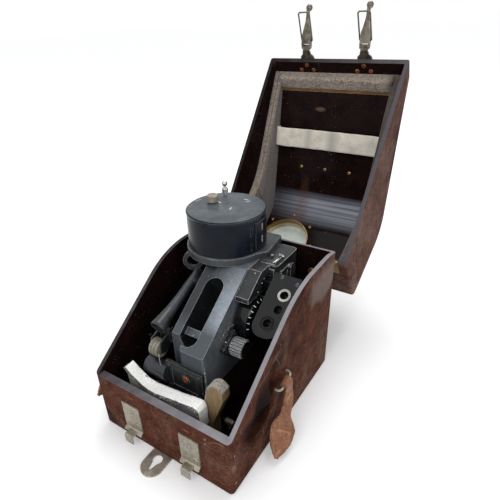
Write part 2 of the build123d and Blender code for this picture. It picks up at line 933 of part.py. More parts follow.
# ================================================================ lid
latch_rivet_z = front_height - rivet_head_radius + gasket_gap - 0.1
latch_rivet_spots = [(-9.5, latch_rivet_z), (9.5, latch_rivet_z), (0, latch_rivet_z - 8)]
latch_rivet_all = [(x + dx, z) for x in (-latch_x, latch_x) for dx, z in latch_rivet_spots]
cup_x = drum_x + cup_shift
cup_y = drum_y + cup_back
panel_screw_spots = [(x * panel_screw_pitch, panel_screw_up_slope) for x in (-1, 0, 1)]
rib_inner = lid_inner_half - rib_thick


def cup_screw_planes():
    """Planes on the panel's inner face at the cup's screws, facing inward, clear of the boards."""
    bend_y = lid_corners(0)[1][0] + lid_bend_radius * tan(radians(lid_slope) / 2)
    inner_radius = lid_bend_radius - lid_wall
    planes = []
    for i in range(cup_screw_count):
        angle = radians(360 * i / cup_screw_count)
        x = cup_x + cup_screw_radius * cos(angle)
        y = cup_y + cup_screw_radius * sin(angle)
        ahead = max(0.0, bend_y - y)
        rise = sqrt(inner_radius**2 - ahead**2)
        if abs(x) + screw_head_radius + gasket_thick < rib_inner:
            inner = Vector(x, y, lid_top - lid_bend_radius + rise)
            planes.append(Plane(origin=inner, x_dir=(1, 0, 0), z_dir=(0, ahead, -rise)))
    return planes


def slope_plane(inset):
    """The shut lid's sloping front, set in by inset: local x across, local y up the slope."""
    face = Plane(
        origin=(0, lid_front, brow_height),
        x_dir=(1, 0, 0),
        z_dir=(0, -sin(radians(lid_slope)), cos(radians(lid_slope))),
    )
    return face.offset(-inset)


def lid_outline(inset, lift):
    """Side view of the shut lid set in by inset, with its open edge raised by lift."""
    with BuildSketch() as outline:
        with BuildLine():
            crown = FilletPolyline(
                (lid_front + inset, lid_front_rim + lift),
                *lid_corners(inset),
                (lid_back - inset, lid_back_rim + lift),
                radius=lid_radii(inset),
            )
            Line(crown @ 1, crown @ 0)
        make_face()
    return outline.sketch


with BuildPart() as lid_shell:
    with BuildSketch(on_lid(Plane.YZ)):
        add(lid_outline(0, 0))
    extrude(amount=lid_half, both=True)
    for side_face in lid_shell.faces().filter_by(Axis.X):
        fillet(side_face.edges().sort_by(SortBy.LENGTH)[:-1], lid_edge_radius)
    with BuildSketch(on_lid(Plane.YZ)):
        add(lid_outline(lid_wall, -2 * lid_wall))
    extrude(amount=lid_inner_half, both=True, mode=Mode.SUBTRACT)
    # hole for the cup over the drum
    with BuildSketch(on_lid(Plane.XY.offset(drum_top))):
        with Locations((cup_x, cup_y)):
            Circle(cup_radius + cup_wall)
    extrude(amount=2 * drum_headroom, mode=Mode.SUBTRACT)
    for face in cup_screw_planes():
        with BuildSketch(on_lid(face)):
            Circle(screw_radius)
        extrude(amount=-2 * lid_wall, mode=Mode.SUBTRACT)
    # latch rivets, panel screws and hinge rivets
    with BuildSketch(on_lid(facing_front(lid_front))):
        with Locations(*latch_rivet_all):
            Circle(rivet_radius)
    extrude(amount=-2 * lid_wall, mode=Mode.SUBTRACT)
    with BuildSketch(on_lid(slope_plane(0))):
        with Locations(*panel_screw_spots):
            Circle(screw_radius)
    extrude(amount=-2 * lid_wall, mode=Mode.SUBTRACT)
    with BuildSketch(on_lid(facing_front(lid_back))):
        with Locations(*[(x, lid_rivet_z) for x in hinge_bolt_x]):
            Circle(rivet_radius)
    extrude(amount=2 * lid_wall, mode=Mode.SUBTRACT)
save(lid_shell, "lid_shell")


def below_rim(lift):
    """Side view of everything below the base's rim raised by lift."""
    start = (lid_front - lid_wall, front_height + lift)
    end = (lid_back + lid_wall, back_height + lift)
    with BuildSketch() as ground:
        with BuildLine():
            line = FilletPolyline(
                start, *rim_corners(lift), end, radius=[0, rim_bend_radius, rim_back_radius, 0]
            )
            Polyline(line @ 1, (end[0], -end[0]), (start[0], -end[0]), line @ 0)
        make_face()
    return ground.sketch


# Liner boards down both sides, standing on the base's rim through the felt
felt_under = gasket_gap + gasket_thick


def rib(side):
    """A liner board inside one side wall of the lid."""
    with BuildPart() as board:
        with BuildSketch(on_lid(Plane.YZ.offset(side * rib_inner))):
            add(lid_outline(lid_wall, -2 * lid_wall))
            add(below_rim(felt_under), mode=Mode.SUBTRACT)
        extrude(amount=side * rib_thick)
    return board


rib_left = rib(-1)
save(rib_left, "rib_left")
rib_right = rib(1)
save(rib_right, "rib_right")

# Wedge-shaped batten across the front, between the liner boards
batten_front = lid_front + lid_wall
with BuildPart() as front_batten:
    with BuildSketch(on_lid(Plane.YZ)):
        add(lid_outline(lid_wall, -2 * lid_wall))
        with Locations((batten_front, front_height + felt_under)):
            Rectangle(
                batten_depth, lid_top, align=(Align.MIN, Align.MIN), mode=Mode.INTERSECT
            )
    extrude(amount=rib_inner, both=True)
save(front_batten, "front_batten")

# Felt: a strip under each liner board and the batten, and a tapering flap on the boards' inner faces
flap_front = (batten_front + batten_depth, front_height + gasket_flap_start)
flap_back = (flap_front[0] + 1.25 * gasket_flap_rise, flap_front[1] + gasket_flap_rise)
with BuildPart() as gasket_felt:
    for side in (-1, 1):
        with BuildSketch(on_lid(Plane.YZ.offset(side * rib_inner))):
            add(lid_outline(lid_wall, -2 * lid_wall))
            add(below_rim(gasket_gap), mode=Mode.SUBTRACT)
            add(below_rim(felt_under), mode=Mode.INTERSECT)
        extrude(amount=side * rib_thick)
        with BuildSketch(on_lid(Plane.YZ.offset(side * rib_inner))):
            add(lid_outline(lid_wall, -2 * lid_wall))
            add(below_rim(gasket_gap), mode=Mode.SUBTRACT)
            with BuildLine():
                Polyline(
                    (flap_front[0], -lid_top),
                    flap_front,
                    flap_back,
                    (flap_back[0], -lid_top),
                    close=True,
                )
            make_face(mode=Mode.INTERSECT)
        extrude(amount=-side * gasket_thick)
    with BuildSketch(on_lid(Plane.YZ)):
        with Locations((batten_front, front_height + gasket_gap)):
            Rectangle(batten_depth, gasket_thick, align=(Align.MIN, Align.MIN))
    extrude(amount=rib_inner, both=True)
save(gasket_felt, "gasket_felt")

# Webbing strap across the lid, turned up at each end onto the liner boards and tacked there
strap_depth = lid_wall + strap_inboard
strap_origin = slope_plane(strap_depth)
up_slope = Vector(0, cos(radians(lid_slope)), sin(radians(lid_slope)))
strap_centre = strap_origin.origin + up_slope * strap_up_slope
strap_plane = Plane(origin=strap_centre, x_dir=(1, 0, 0), z_dir=up_slope)
with BuildPart() as web_strap:
    with BuildSketch(on_lid(strap_plane)):
        with BuildLine():
            sag = ThreePointArc((-rib_inner, 0), (0, strap_sag), (rib_inner, 0))
            offset(sag, amount=strap_thick, side=Side.RIGHT)
        make_face()
        for side in (-1, 1):
            with Locations((side * (rib_inner - strap_thick / 2), -strap_turn / 2)):
                Rectangle(strap_thick, strap_turn)
    extrude(amount=strap_width / 2, both=True)
save(web_strap, "web_strap")

tack_spots = [(-0.6 * strap_turn, -strap_width / 4), (-0.6 * strap_turn, strap_width / 4)]
with BuildPart() as web_tacks:
    for side in (-1, 1):
        face = Plane(
            origin=strap_centre + Vector(side * (rib_inner - strap_thick), 0, 0),
            x_dir=strap_plane.y_dir,
            z_dir=(-side, 0, 0),
        )
        add(heads(on_lid(face), [(x, -side * y) for x, y in tack_spots], 2.2, 0.8))
save(web_tacks, "web_tacks")

with BuildPart() as panel_screws:
    inside_slope = slope_plane(lid_wall)
    inward = Plane(origin=inside_slope.origin, x_dir=(-1, 0, 0), z_dir=-inside_slope.z_dir)
    add(heads(on_lid(inward), panel_screw_spots, screw_head_radius, screw_head_height))
    add(shanks(on_lid(inward), panel_screw_spots, screw_radius, lid_wall))
    outside_slope = slope_plane(0)
    add(heads(on_lid(outside_slope), panel_screw_spots, screw_head_radius, screw_head_height))
save(panel_screws, "panel_screws")

# Cup over the drum's knob: flange on the lid's outer face, wall through the hole, flat end
cup_top = lid_inner_top + cup_depth
with BuildPart() as lid_dome:
    with BuildSketch(on_lid(Plane.YZ)):
        add(lid_outline(-cup_wall, 0))
        add(lid_outline(0, -lid_wall), mode=Mode.SUBTRACT)
    extrude(amount=lid_half, both=True)
    with BuildSketch(on_lid(Plane.XY.offset(drum_top))):
        with Locations((cup_x, cup_y)):
            Circle(cup_flange_radius)
    extrude(amount=cup_top, mode=Mode.INTERSECT)
    with BuildSketch(on_lid(Plane.XY.offset(drum_top))):
        with Locations((cup_x, cup_y)):
            Circle(cup_radius + cup_wall)
    extrude(amount=cup_top + cup_wall - drum_top)
    cup_axis = Axis(on_lid(Plane.XY).origin, on_lid(Plane.XY).z_dir)
    fillet(lid_dome.faces().sort_by(cup_axis)[-1].edges(), cup_edge_radius)
    with BuildSketch(on_lid(Plane.XY.offset(drum_top))):
        with Locations((cup_x, cup_y)):
            Circle(cup_radius)
    extrude(amount=cup_top - drum_top, mode=Mode.SUBTRACT)
    with BuildSketch(on_lid(Plane.YZ)):
        add(lid_outline(lid_wall, -lid_top))
    extrude(amount=lid_half, both=True, mode=Mode.SUBTRACT)
    for face in cup_screw_planes():
        with BuildSketch(on_lid(face)):
            Circle(screw_radius)
        extrude(amount=-2 * lid_wall, mode=Mode.SUBTRACT)
save(lid_dome, "lid_dome")

with BuildPart() as dome_screws:
    for face in cup_screw_planes():
        add(heads(on_lid(face), [(0, 0)], screw_head_radius, screw_head_height))
    # the heads' seats follow the panel's curve
    with BuildSketch(on_lid(Plane.YZ)):
        add(lid_outline(0, 0))
        add(lid_outline(lid_wall, -lid_top), mode=Mode.SUBTRACT)
    extrude(amount=lid_half, both=True, mode=Mode.SUBTRACT)
    for face in cup_screw_planes():
        add(shanks(on_lid(face), [(0, 0)], screw_radius, lid_wall + cup_wall))
save(dome_screws, "dome_screws")

# ================================================================ latches
pivot_y = lid_front - latch_stand_off
pivot_z = lid_front_rim - latch_pivot_drop
bracket_y = lid_front - bracket_sheet
bracket_top = lid_front_rim + bracket_top_rise
bracket_hang = pivot_z + 5.5


def latch_bracket(x):
    """A latch bracket at x: plate on the lid's front, narrow tab below it and the pin's barrel."""
    with BuildPart() as bracket:
        with BuildSketch(on_lid(facing_front(lid_front))):
            with BuildLine():
                Polyline(
                    (x, bracket_top),
                    (x + bracket_width / 2, bracket_top),
                    (x + bracket_width / 2, lid_front_rim + 5.4),
                    (x + bracket_neck_width / 2, lid_front_rim - 0.6),
                    (x + bracket_neck_width / 2, lid_front_rim - bracket_neck_drop),
                    (x + bracket_tab_width / 2, lid_front_rim - bracket_tab_drop),
                    (x + bracket_tab_width / 2, bracket_hang),
                    (x, bracket_hang),
                    close=True,
                )
            make_face()
            mirror(about=Plane.YZ.offset(x))
            with Locations(*[(x + dx, z) for dx, z in latch_rivet_spots]):
                Circle(rivet_radius, mode=Mode.SUBTRACT)
        extrude(amount=bracket_sheet)
        with BuildSketch(on_lid(Plane.YZ.offset(x))):
            with BuildLine():
                Polyline(
                    (bracket_y, bracket_hang),
                    (lid_front, bracket_hang),
                    (lid_front, pivot_z + 3.0),
                    (pivot_y + 1.7, pivot_z - 1.6),
                    (pivot_y, pivot_z),
                    (pivot_y - 0.6, pivot_z + 2.4),
                    close=True,
                )
            make_face()
            with Locations((pivot_y, pivot_z)):
                Circle(latch_barrel_radius)
                Circle(latch_pin_radius, mode=Mode.SUBTRACT)
        extrude(amount=latch_barrel_length / 2, both=True)
    return bracket


latch_bracket_left = latch_bracket(-latch_x)
save(latch_bracket_left, "latch_bracket_left")
latch_bracket_right = latch_bracket(latch_x)
save(latch_bracket_right, "latch_bracket_right")

with BuildPart() as latch_rivets:
    bracket_face = on_lid(facing_front(bracket_y))
    add(heads(bracket_face, latch_rivet_all, rivet_head_radius, 0.8 * rivet_head_height))
    add(shanks(bracket_face, latch_rivet_all, rivet_radius, bracket_sheet + lid_wall))
    mirrored = [(-x, z) for x, z in latch_rivet_all]
    lid_inside = Plane(origin=(0, lid_front + lid_wall, 0), x_dir=(-1, 0, 0), z_dir=(0, 1, 0))
    add(heads(on_lid(lid_inside), mirrored, rivet_head_radius, 0.8))
save(latch_rivets, "latch_rivets")

with BuildPart() as latch_pins:
    for x in (-latch_x, latch_x):
        with BuildSketch(on_lid(Plane(origin=(x, pivot_y, pivot_z), z_dir=(1, 0, 0)))):
            Circle(latch_pin_radius)
        extrude(amount=lever_ear_outer + 0.1, both=True)
save(latch_pins, "latch_pins")

with BuildPart() as hinge_rivets_lid:
    lid_rivet_spots = [(x, lid_rivet_z) for x in hinge_bolt_x]
    behind_leaf = Plane(origin=(0, leaf_outer, 0), x_dir=(-1, 0, 0), z_dir=(0, 1, 0))
    behind_spots = [(-x, z) for x, z in lid_rivet_spots]
    add(heads(on_lid(behind_leaf), behind_spots, rivet_head_radius, rivet_head_height))
    add(shanks(on_lid(behind_leaf), behind_spots, rivet_radius, leaf_thick + lid_wall))
    inner_back = facing_front(lid_back - lid_wall)
    add(heads(on_lid(inner_back), lid_rivet_spots, rivet_head_radius, 0.8))
save(hinge_rivets_lid, "hinge_rivets_lid")


def lever_plane(x, angle, along):
    """Side plane of a lever at x: local x runs along the lever from a point on it, y to its back."""
    lever = Vector(0, cos(radians(angle)), sin(radians(angle)))
    origin = Vector(x, pivot_y, pivot_z) + lever * along
    return on_lid(Plane(origin=origin, x_dir=lever, z_dir=(1, 0, 0)))


def latch_lever(x, angle):
    """A pressed lever: two ears on the pin, a tapering web between them and a ball at its end."""
    pin_bore = latch_pin_radius + latch_pin_clearance
    bail_bore = bail_wire_radius + bail_hole_clearance
    back = Plane(
        origin=lever_plane(x, angle, 0).origin,
        x_dir=lever_plane(x, angle, 0).x_dir,
        z_dir=lever_plane(x, angle, 0).y_dir,
    )
    with BuildPart() as lever:
        with BuildSketch(back.offset(lever_web_near)):
            with BuildLine():
                Polyline(
                    (lever_web_start, 0),
                    (lever_web_start, lever_ear_outer),
                    (lever_ear_length, lever_ear_outer),
                )
                Spline(
                    (lever_ear_length, lever_ear_outer),
                    (lever_waist_at, lever_waist),
                    (lever_ball_at, lever_waist + 0.2),
                    tangents=[(1, -0.2), (1, 0.1)],
                )
                Polyline((lever_ball_at, lever_waist + 0.2), (lever_ball_at, 0), (lever_web_start, 0))
            make_face()
            mirror(about=Plane.XZ)
        extrude(amount=lever_web_far - lever_web_near)
        with BuildSketch(lever_plane(x - lever_ear_outer, angle, 0)):
            with BuildLine():
                Polyline((0, -lever_back), (0.3 * lever_ear_length, -lever_ear_under))
                Polyline(
                    (0.3 * lever_ear_length, -lever_ear_under),
                    (0.75 * lever_ear_length, -lever_ear_under),
                    (lever_ear_length + 3, lever_web_near),
                    (lever_ear_length, lever_web_far),
                    (lever_web_start, lever_web_far),
                    (0, lever_back),
                )
                ThreePointArc((0, lever_back), (-lever_back, 0), (0, -lever_back))
            make_face()
            Circle(pin_bore, mode=Mode.SUBTRACT)
            with Locations((bail_pivot, 0)):
                Circle(bail_bore, mode=Mode.SUBTRACT)
        extrude(amount=lever_ear_outer - lever_ear_inner)
        mirror(about=Plane.YZ.offset(x))
        ball_plane = lever_plane(x, angle, lever_ball_at)
        with BuildSketch(ball_plane):
            with BuildLine():
                CenterArc((0, 1), lever_ball_radius, 0, 180)
                Line((-lever_ball_radius, 1), (lever_ball_radius, 1))
            make_face()
        revolve(axis=Axis(ball_plane.origin + ball_plane.y_dir, ball_plane.x_dir))
    return lever


latch_lever_left = latch_lever(-latch_x, lever_rest_left)
save(latch_lever_left, "latch_lever_left")
latch_lever_right = latch_lever(latch_x, lever_rest_right)
save(latch_lever_right, "latch_lever_right")


def latch_bail(x, lever_angle, bail_angle):
    """A wire bail hung in the lever's ears: both legs, the bar and the turned-in ends."""
    lever = Vector(0, cos(radians(lever_angle)), sin(radians(lever_angle)))
    hang = Vector(0, cos(radians(bail_angle)), sin(radians(bail_angle)))
    middle = Vector(x, pivot_y, pivot_z) + lever * bail_pivot
    half = Vector(bail_half_width, 0, 0)
    tip = Vector(bail_half_width - lever_ear_inner, 0, 0)
    with BuildPart() as bail:
        with BuildLine():
            wire = FilletPolyline(
                lid_point(middle - half + tip),
                lid_point(middle - half),
                lid_point(middle - half + hang * bail_length),
                lid_point(middle + half + hang * bail_length),
                lid_point(middle + half),
                lid_point(middle + half - tip),
                radius=[1.2, bail_corner, bail_corner, 1.2],
            )
        with BuildSketch(Plane(origin=wire @ 0, z_dir=wire % 0)):
            Circle(bail_wire_radius)
        sweep()
    return bail


def lid_point(point):
    """A point of the shut lid, carried to the open pose."""
    return (lid_pose * Location(point)).position


latch_bail_left = latch_bail(-latch_x, lever_rest_left, bail_rest_left)
save(latch_bail_left, "latch_bail_left")
latch_bail_right = latch_bail(latch_x, lever_rest_right, bail_rest_right)
save(latch_bail_right, "latch_bail_right")

# ================================================================ sextant
heel_y = frame_back - frame_heel_run
nose_top = seat_height + frame_nose
crest_y = frame_front + (frame_height - frame_nose) / tan(radians(rim_slope))


def frame_top_at(y):
    """Height of the frame's sloping top over y."""
    return nose_top + (y - frame_front) * tan(radians(rim_slope))


# Frame: a wedge with a sloping top, a long slot with round ends and a bar across it
slope_up = Vector(0, cos(radians(rim_slope)), sin(radians(rim_slope)))
slot_start = frame_front + slot_from_nose
slot_middle = slot_start + slot_length / 2 * slope_up.Y
slot_x = frame_left + slot_from_left + slot_width / 2
slot_plane = Plane(
    origin=(slot_x, slot_middle, frame_top_at(slot_middle)), x_dir=slope_up,
    z_dir=(0, -slope_up.Z, slope_up.Y),
)
with BuildPart() as sextant_frame:
    with BuildSketch(Plane.YZ.offset(frame_left)):
        with BuildLine():
            Polyline(
                (frame_front, seat_height),
                (frame_front, nose_top),
                (crest_y, frame_top),
                (frame_back, frame_top),
                (frame_back, seat_height + frame_heel_rise),
                (heel_y, seat_height),
                close=True,
            )
        make_face()
    extrude(amount=frame_width)
    with BuildSketch(Plane.XY.offset(seat_height)):
        with Locations((frame_left, frame_front)):
            Rectangle(nose_cut_width, nose_cut_depth, align=(Align.MIN, Align.MIN))
    extrude(amount=frame_height, mode=Mode.SUBTRACT)
    fillet(sextant_frame.edges().filter_by(Axis.Z).group_by(Axis.Y)[0], nose_radius)
    with BuildSketch(slot_plane):
        SlotOverall(slot_length, slot_width)
    extrude(amount=-slot_depth, mode=Mode.SUBTRACT)
    with BuildSketch(slot_plane.offset(-slot_bar_drop)):
        with Locations((-0.28 * slot_length, 0)):
            Rectangle(slot_bar_length, slot_width)
    extrude(amount=-slot_bar_thick)
save(sextant_frame, "sextant_frame")

# Flange under the drum: a disc with a corner that reaches back over the rear casting
flange_corner = (frame_right + 1.5, drum_y + 0.9 * flange_radius)
with BuildPart() as drum_flange:
    with BuildSketch(Plane.XY.offset(frame_top)):
        with Locations((drum_x, drum_y)):
            Circle(flange_radius)
        with BuildLine():
            Polyline(
                (drum_x + 0.5 * flange_radius, drum_y - 0.86 * flange_radius),
                (flange_corner[0] + 0.12 * flange_radius, drum_y),
                flange_corner,
                (drum_x, drum_y + 0.9 * flange_radius),
                (drum_x, drum_y),
                close=True,
            )
        make_face()
    extrude(amount=flange_thick)
    fillet(drum_flange.edges().filter_by(Axis.Z), flange_corner_radius)
    chamfer(drum_flange.faces().sort_by(Axis.Z)[-1].edges(), 1.0)
save(drum_flange, "drum_flange")

drum_knob_x = drum_x - 22.0
drum_knob_y = drum_y + 4.0
knob_base_z = drum_top + knob_stem_height
plunger_x = drum_x - 20.0
plunger_y = drum_y + 28.0

# Drum: a closed can with a bead round its top and two windows in its right-hand side
with BuildPart() as drum:
    with BuildSketch(Plane(origin=(drum_x, drum_y, 0), x_dir=(1, 0, 0), z_dir=(0, -1, 0))):
        with BuildLine():
            Polyline(
                (0, drum_base),
                (drum_radius, drum_base),
                (drum_radius, drum_top - 3 * drum_bead),
                (drum_radius + 0.6, drum_top - 2 * drum_bead),
                (drum_radius + 0.6, drum_top - drum_bead),
                (drum_radius - drum_bead, drum_top),
                (0, drum_top),
                close=True,
            )
        make_face()
    revolve(axis=Axis((drum_x, drum_y, 0), (0, 0, 1)))
    with BuildSketch(Plane.XY.offset(drum_top)):
        with Locations((drum_knob_x, drum_knob_y)):
            Circle(knob_stem_radius + turning_clearance)
        with Locations((plunger_x, plunger_y)):
            Circle(plunger_pillar_radius + turning_clearance)
    extrude(amount=-(2 * plunger_travel + 1), mode=Mode.SUBTRACT)
    for rise in (0.2, 0.62):
        with BuildSketch(
            Plane(
                origin=(drum_x, drum_y, drum_base + rise * drum_height),
                x_dir=(0, 0, 1),
                z_dir=(cos(radians(20)), -sin(radians(20)), 0),
            ).offset(drum_radius - 2)
        ):
            SlotOverall(drum_slot_height, drum_slot_width)
        extrude(amount=4, mode=Mode.SUBTRACT)
save(drum, "drum")

with BuildPart() as drum_knob:
    with BuildSketch(Plane.XY.offset(drum_top - plunger_travel)):
        with Locations((drum_knob_x, drum_knob_y)):
            Circle(knob_stem_radius)
    extrude(amount=plunger_travel + knob_stem_height)
    with BuildSketch(Plane.XY.offset(knob_base_z)):
        with Locations((drum_knob_x, drum_knob_y)):
            Circle(knob_radius)
    extrude(amount=knob_height)
    chamfer(drum_knob.faces().sort_by(Axis.Z)[-1].edges(), 1.0)
save(drum_knob, "drum_knob")

with BuildPart() as drum_plunger:
    with BuildSketch(
        Plane(origin=(plunger_x, plunger_y, 0), x_dir=(1, 0, 0), z_dir=(0, -1, 0))
    ):
        with BuildLine():
            ball_z = drum_top + plunger_pillar_height + plunger_ball_radius
            Polyline(
                (0, drum_top - plunger_travel),
                (plunger_pillar_radius, drum_top - plunger_travel),
                (plunger_pillar_radius, drum_top + plunger_travel + 0.5),
            )
            Polyline(
                (plunger_pillar_radius, drum_top + plunger_travel + 0.5),
                (plunger_collar_radius, drum_top + plunger_travel + 1.5),
                (plunger_collar_radius, drum_top + plunger_travel + plunger_collar_height),
                (0.6 * plunger_pillar_radius, drum_top + plunger_pillar_height),
                (0.6 * plunger_pillar_radius, ball_z - 0.9 * plunger_ball_radius),
            )
            Line(
                (0.6 * plunger_pillar_radius, ball_z - 0.9 * plunger_ball_radius),
                (0, ball_z - 0.9 * plunger_ball_radius),
            )
            Line((0, ball_z - 0.9 * plunger_ball_radius), (0, drum_top - plunger_travel))
        make_face()
        with BuildLine():
            ball = CenterArc((0, ball_z), plunger_ball_radius, -90, 180)
            Line(ball @ 1, ball @ 0)
        make_face()
    revolve(axis=Axis((plunger_x, plunger_y, 0), (0, 0, 1)))
save(drum_plunger, "drum_plunger")

# Grip ring under the flange, on a short lug
ring_tilt = radians(ring_turn)
ring_z = frame_top - ring_outer_radius - ring_drop
ring_centre = Vector(drum_x - ring_left, drum_y - ring_forward, ring_z)
ring_plane = Plane(origin=ring_centre, x_dir=(cos(ring_tilt), sin(ring_tilt), 0),
                   z_dir=(-sin(ring_tilt), cos(ring_tilt), 0))
with BuildPart() as grip_ring:
    with BuildSketch(ring_plane.offset(-ring_thick / 2)):
        Circle(ring_outer_radius)
        with Locations((0, -ring_outer_radius)):
            Rectangle(9, 6)
        Circle(ring_inner_radius, mode=Mode.SUBTRACT)
    extrude(amount=ring_thick)
save(grip_ring, "grip_ring")

# Rear casting on the frame's right-hand side, with its shelf over the dial
casting_front = frame_back - 4 - rear_casting_length
casting_bottom = frame_top - rear_casting_drop
with BuildPart() as rear_casting:
    with BuildSketch(Plane.XY.offset(casting_bottom)):
        with Locations((frame_right, casting_front)):
            Rectangle(rear_casting_width, rear_casting_length, align=(Align.MIN, Align.MIN))
    extrude(amount=rear_casting_drop)
    fillet(rear_casting.edges().filter_by(Axis.Z).group_by(Axis.X)[-1], casting_edge_radius)
    with BuildSketch(Plane.YZ.offset(frame_right)):
        with BuildLine():
            Polyline(
                (casting_front, frame_top),
                (casting_front - 18, frame_top),
                (casting_front - shelf_run, frame_top - shelf_thick + shelf_tip),
                (casting_front - shelf_run, frame_top - shelf_thick),
                (casting_front, frame_top - shelf_thick),
                close=True,
            )
        make_face()
    extrude(amount=shelf_width)
save(rear_casting, "rear_casting")

# Index dial and the fluted knob that drives it, on their base
dial_y = frame_back - dial_back
dial_z = frame_top - dial_drop
index_knob_y = frame_front + index_knob_back
index_knob_z = frame_top - index_knob_drop
dial_left = frame_right + dial_gap
with BuildPart() as index_dial:
    with BuildSketch(Plane(origin=(frame_right + 0.1, dial_y, dial_z), z_dir=(1, 0, 0))):
        Circle(dial_shaft_radius)
    extrude(amount=dial_gap)
    with BuildSketch(Plane(origin=(dial_left, dial_y, dial_z), z_dir=(1, 0, 0))):
        Circle(dial_radius)
    extrude(amount=dial_width)
    chamfer(index_dial.faces().sort_by(Axis.X)[-1].edges(), dial_chamfer)
    with BuildSketch(Plane(origin=(dial_left + dial_width, dial_y, dial_z), z_dir=(1, 0, 0))):
        Circle(0.72 * dial_radius)
    extrude(amount=-4, mode=Mode.SUBTRACT)
save(index_dial, "index_dial")

knob_base_right = frame_right + knob_base_thick
knob_screw_spots = [(index_knob_y - 15, index_knob_z + 3), (index_knob_y + 3, index_knob_z + 15)]
with BuildPart() as knob_base:
    with BuildSketch(Plane.YZ.offset(frame_right)):
        with Locations((index_knob_y, index_knob_z)):
            Circle(knob_base_radius)
        with Locations(*knob_screw_spots):
            Circle(4.5)
        with Locations((index_knob_y, index_knob_z)):
            Circle(dial_shaft_radius + turning_clearance, mode=Mode.SUBTRACT)
        with Locations((dial_y, dial_z)):
            Circle(dial_radius + 1, mode=Mode.SUBTRACT)
        with Locations(*knob_screw_spots):
            Circle(screw_radius, mode=Mode.SUBTRACT)
    extrude(amount=knob_base_thick)
save(knob_base, "knob_base")

knob_left = frame_right + index_knob_gap
with BuildPart() as index_knob:
    with BuildSketch(Plane(origin=(frame_right + 0.1, index_knob_y, index_knob_z), z_dir=(1, 0, 0))):
        Circle(dial_shaft_radius)
    extrude(amount=index_knob_gap)
    with BuildSketch(Plane(origin=(knob_left, index_knob_y, index_knob_z), z_dir=(1, 0, 0))):
        Circle(index_knob_radius)
    extrude(amount=index_knob_length)
    chamfer(index_knob.faces().sort_by(Axis.X)[-1].edges(), index_knob_chamfer)
    flutes_from = (knob_left + index_knob_plain, index_knob_y, index_knob_z)
    with BuildSketch(Plane(origin=flutes_from, z_dir=(1, 0, 0))):
        with PolarLocations(index_knob_radius + 0.2, flute_count):
            Circle(flute_radius)
    extrude(amount=index_knob_length, mode=Mode.SUBTRACT)
save(index_knob, "index_knob")

# Eyepiece housing: a sloping block with a round nose, three bores and an arm to the shelf
housing_front = dial_y - eyepiece_forward
housing_back = housing_front + eyepiece_length


def housing_top_at(y):
    """Height of the housing's sloping top over y, parallel to the frame's top."""
    return frame_top_at(y) - eyepiece_below_top


housing_middle_x = (eyepiece_left + eyepiece_right) / 2
housing_plane = Plane(
    origin=(housing_middle_x, housing_front, housing_top_at(housing_front)),
    x_dir=(1, 0, 0),
    z_dir=(0, -slope_up.Z, slope_up.Y),
)
housing_run = eyepiece_length / slope_up.Y
ring_spots = [(5.0, 0.69 * housing_run), (0.0, 0.22 * housing_run)]
ring_sizes = [7.5, 9.0]
plain_bore_spot = (5.0, 0.46 * housing_run)
housing_screw_spots = [(-6.5, 0.95 * housing_run), (13.5, 0.9 * housing_run)]
with BuildPart() as eyepiece_housing:
    with BuildSketch(housing_plane):
        with Locations((0, housing_run / 2)):
            Rectangle(eyepiece_width, housing_run)
    extrude(amount=-eyepiece_depth)
    nose = eyepiece_housing.edges().filter_by(Axis(housing_plane.origin, housing_plane.z_dir))
    fillet(nose.group_by(Axis.Y)[0], eyepiece_corner)
    with BuildSketch(housing_plane):
        with Locations(*ring_spots, plain_bore_spot):
            Circle(bore_radius)
    extrude(amount=-bore_depth, mode=Mode.SUBTRACT)
    with BuildSketch(housing_plane):
        with Locations(*housing_screw_spots):
            Circle(screw_radius)
    extrude(amount=-3, mode=Mode.SUBTRACT)
    arm_z = frame_top - shelf_thick + 1
    with BuildSketch(Plane.YZ.offset(frame_right + shelf_width)):
        with Locations((housing_back - 6, arm_z)):
            Rectangle(12, 14, align=(Align.CENTER, Align.MIN))
    extrude(amount=eyepiece_left - frame_right - shelf_width + 1)
save(eyepiece_housing, "eyepiece_housing")

with BuildPart() as eyepiece_rings:
    for spot, radius in zip(ring_spots, ring_sizes):
        with BuildSketch(housing_plane):
            with Locations(spot):
                Circle(radius)
                Circle(bore_radius, mode=Mode.SUBTRACT)
        extrude(amount=ring_rise)
save(eyepiece_rings, "eyepiece_rings")

# Lens bracket off the frame's left-hand side, with the roller between its cheeks
roller_y = frame_front + roller_forward
roller_z = seat_height + roller_rise
roller_right = frame_left - roller_left
cheek_right = roller_right + bracket_gap
cheek_left = roller_right - roller_width - bracket_gap - bracket_thick
bridge_y = max(frame_front + nose_cut_depth, roller_y + roller_radius) + 1
with BuildPart() as lens_bracket:
    for x in (cheek_left, cheek_right):
        with BuildSketch(Plane.YZ.offset(x)):
            with BuildLine():
                Polyline(
                    (roller_y - 6, roller_z - 3),
                    (roller_y + 3, roller_z - 7),
                    (bridge_y + 8, roller_z + 4),
                    (bridge_y + 8, roller_z + 20),
                    (roller_y - 3, roller_z + 12),
                    close=True,
                )
            make_face()
        extrude(amount=bracket_thick)
    with BuildSketch(Plane.YZ.offset(cheek_left)):
        with Locations((bridge_y, roller_z + 4)):
            Rectangle(8, 12, align=(Align.MIN, Align.MIN))
    extrude(amount=frame_left - cheek_left)
    with BuildSketch(Plane.YZ.offset(cheek_left)):
        with Locations((roller_y, roller_z)):
            Circle(axle_radius)
    extrude(amount=roller_width + 2 * (bracket_gap + bracket_thick))
save(lens_bracket, "lens_bracket")

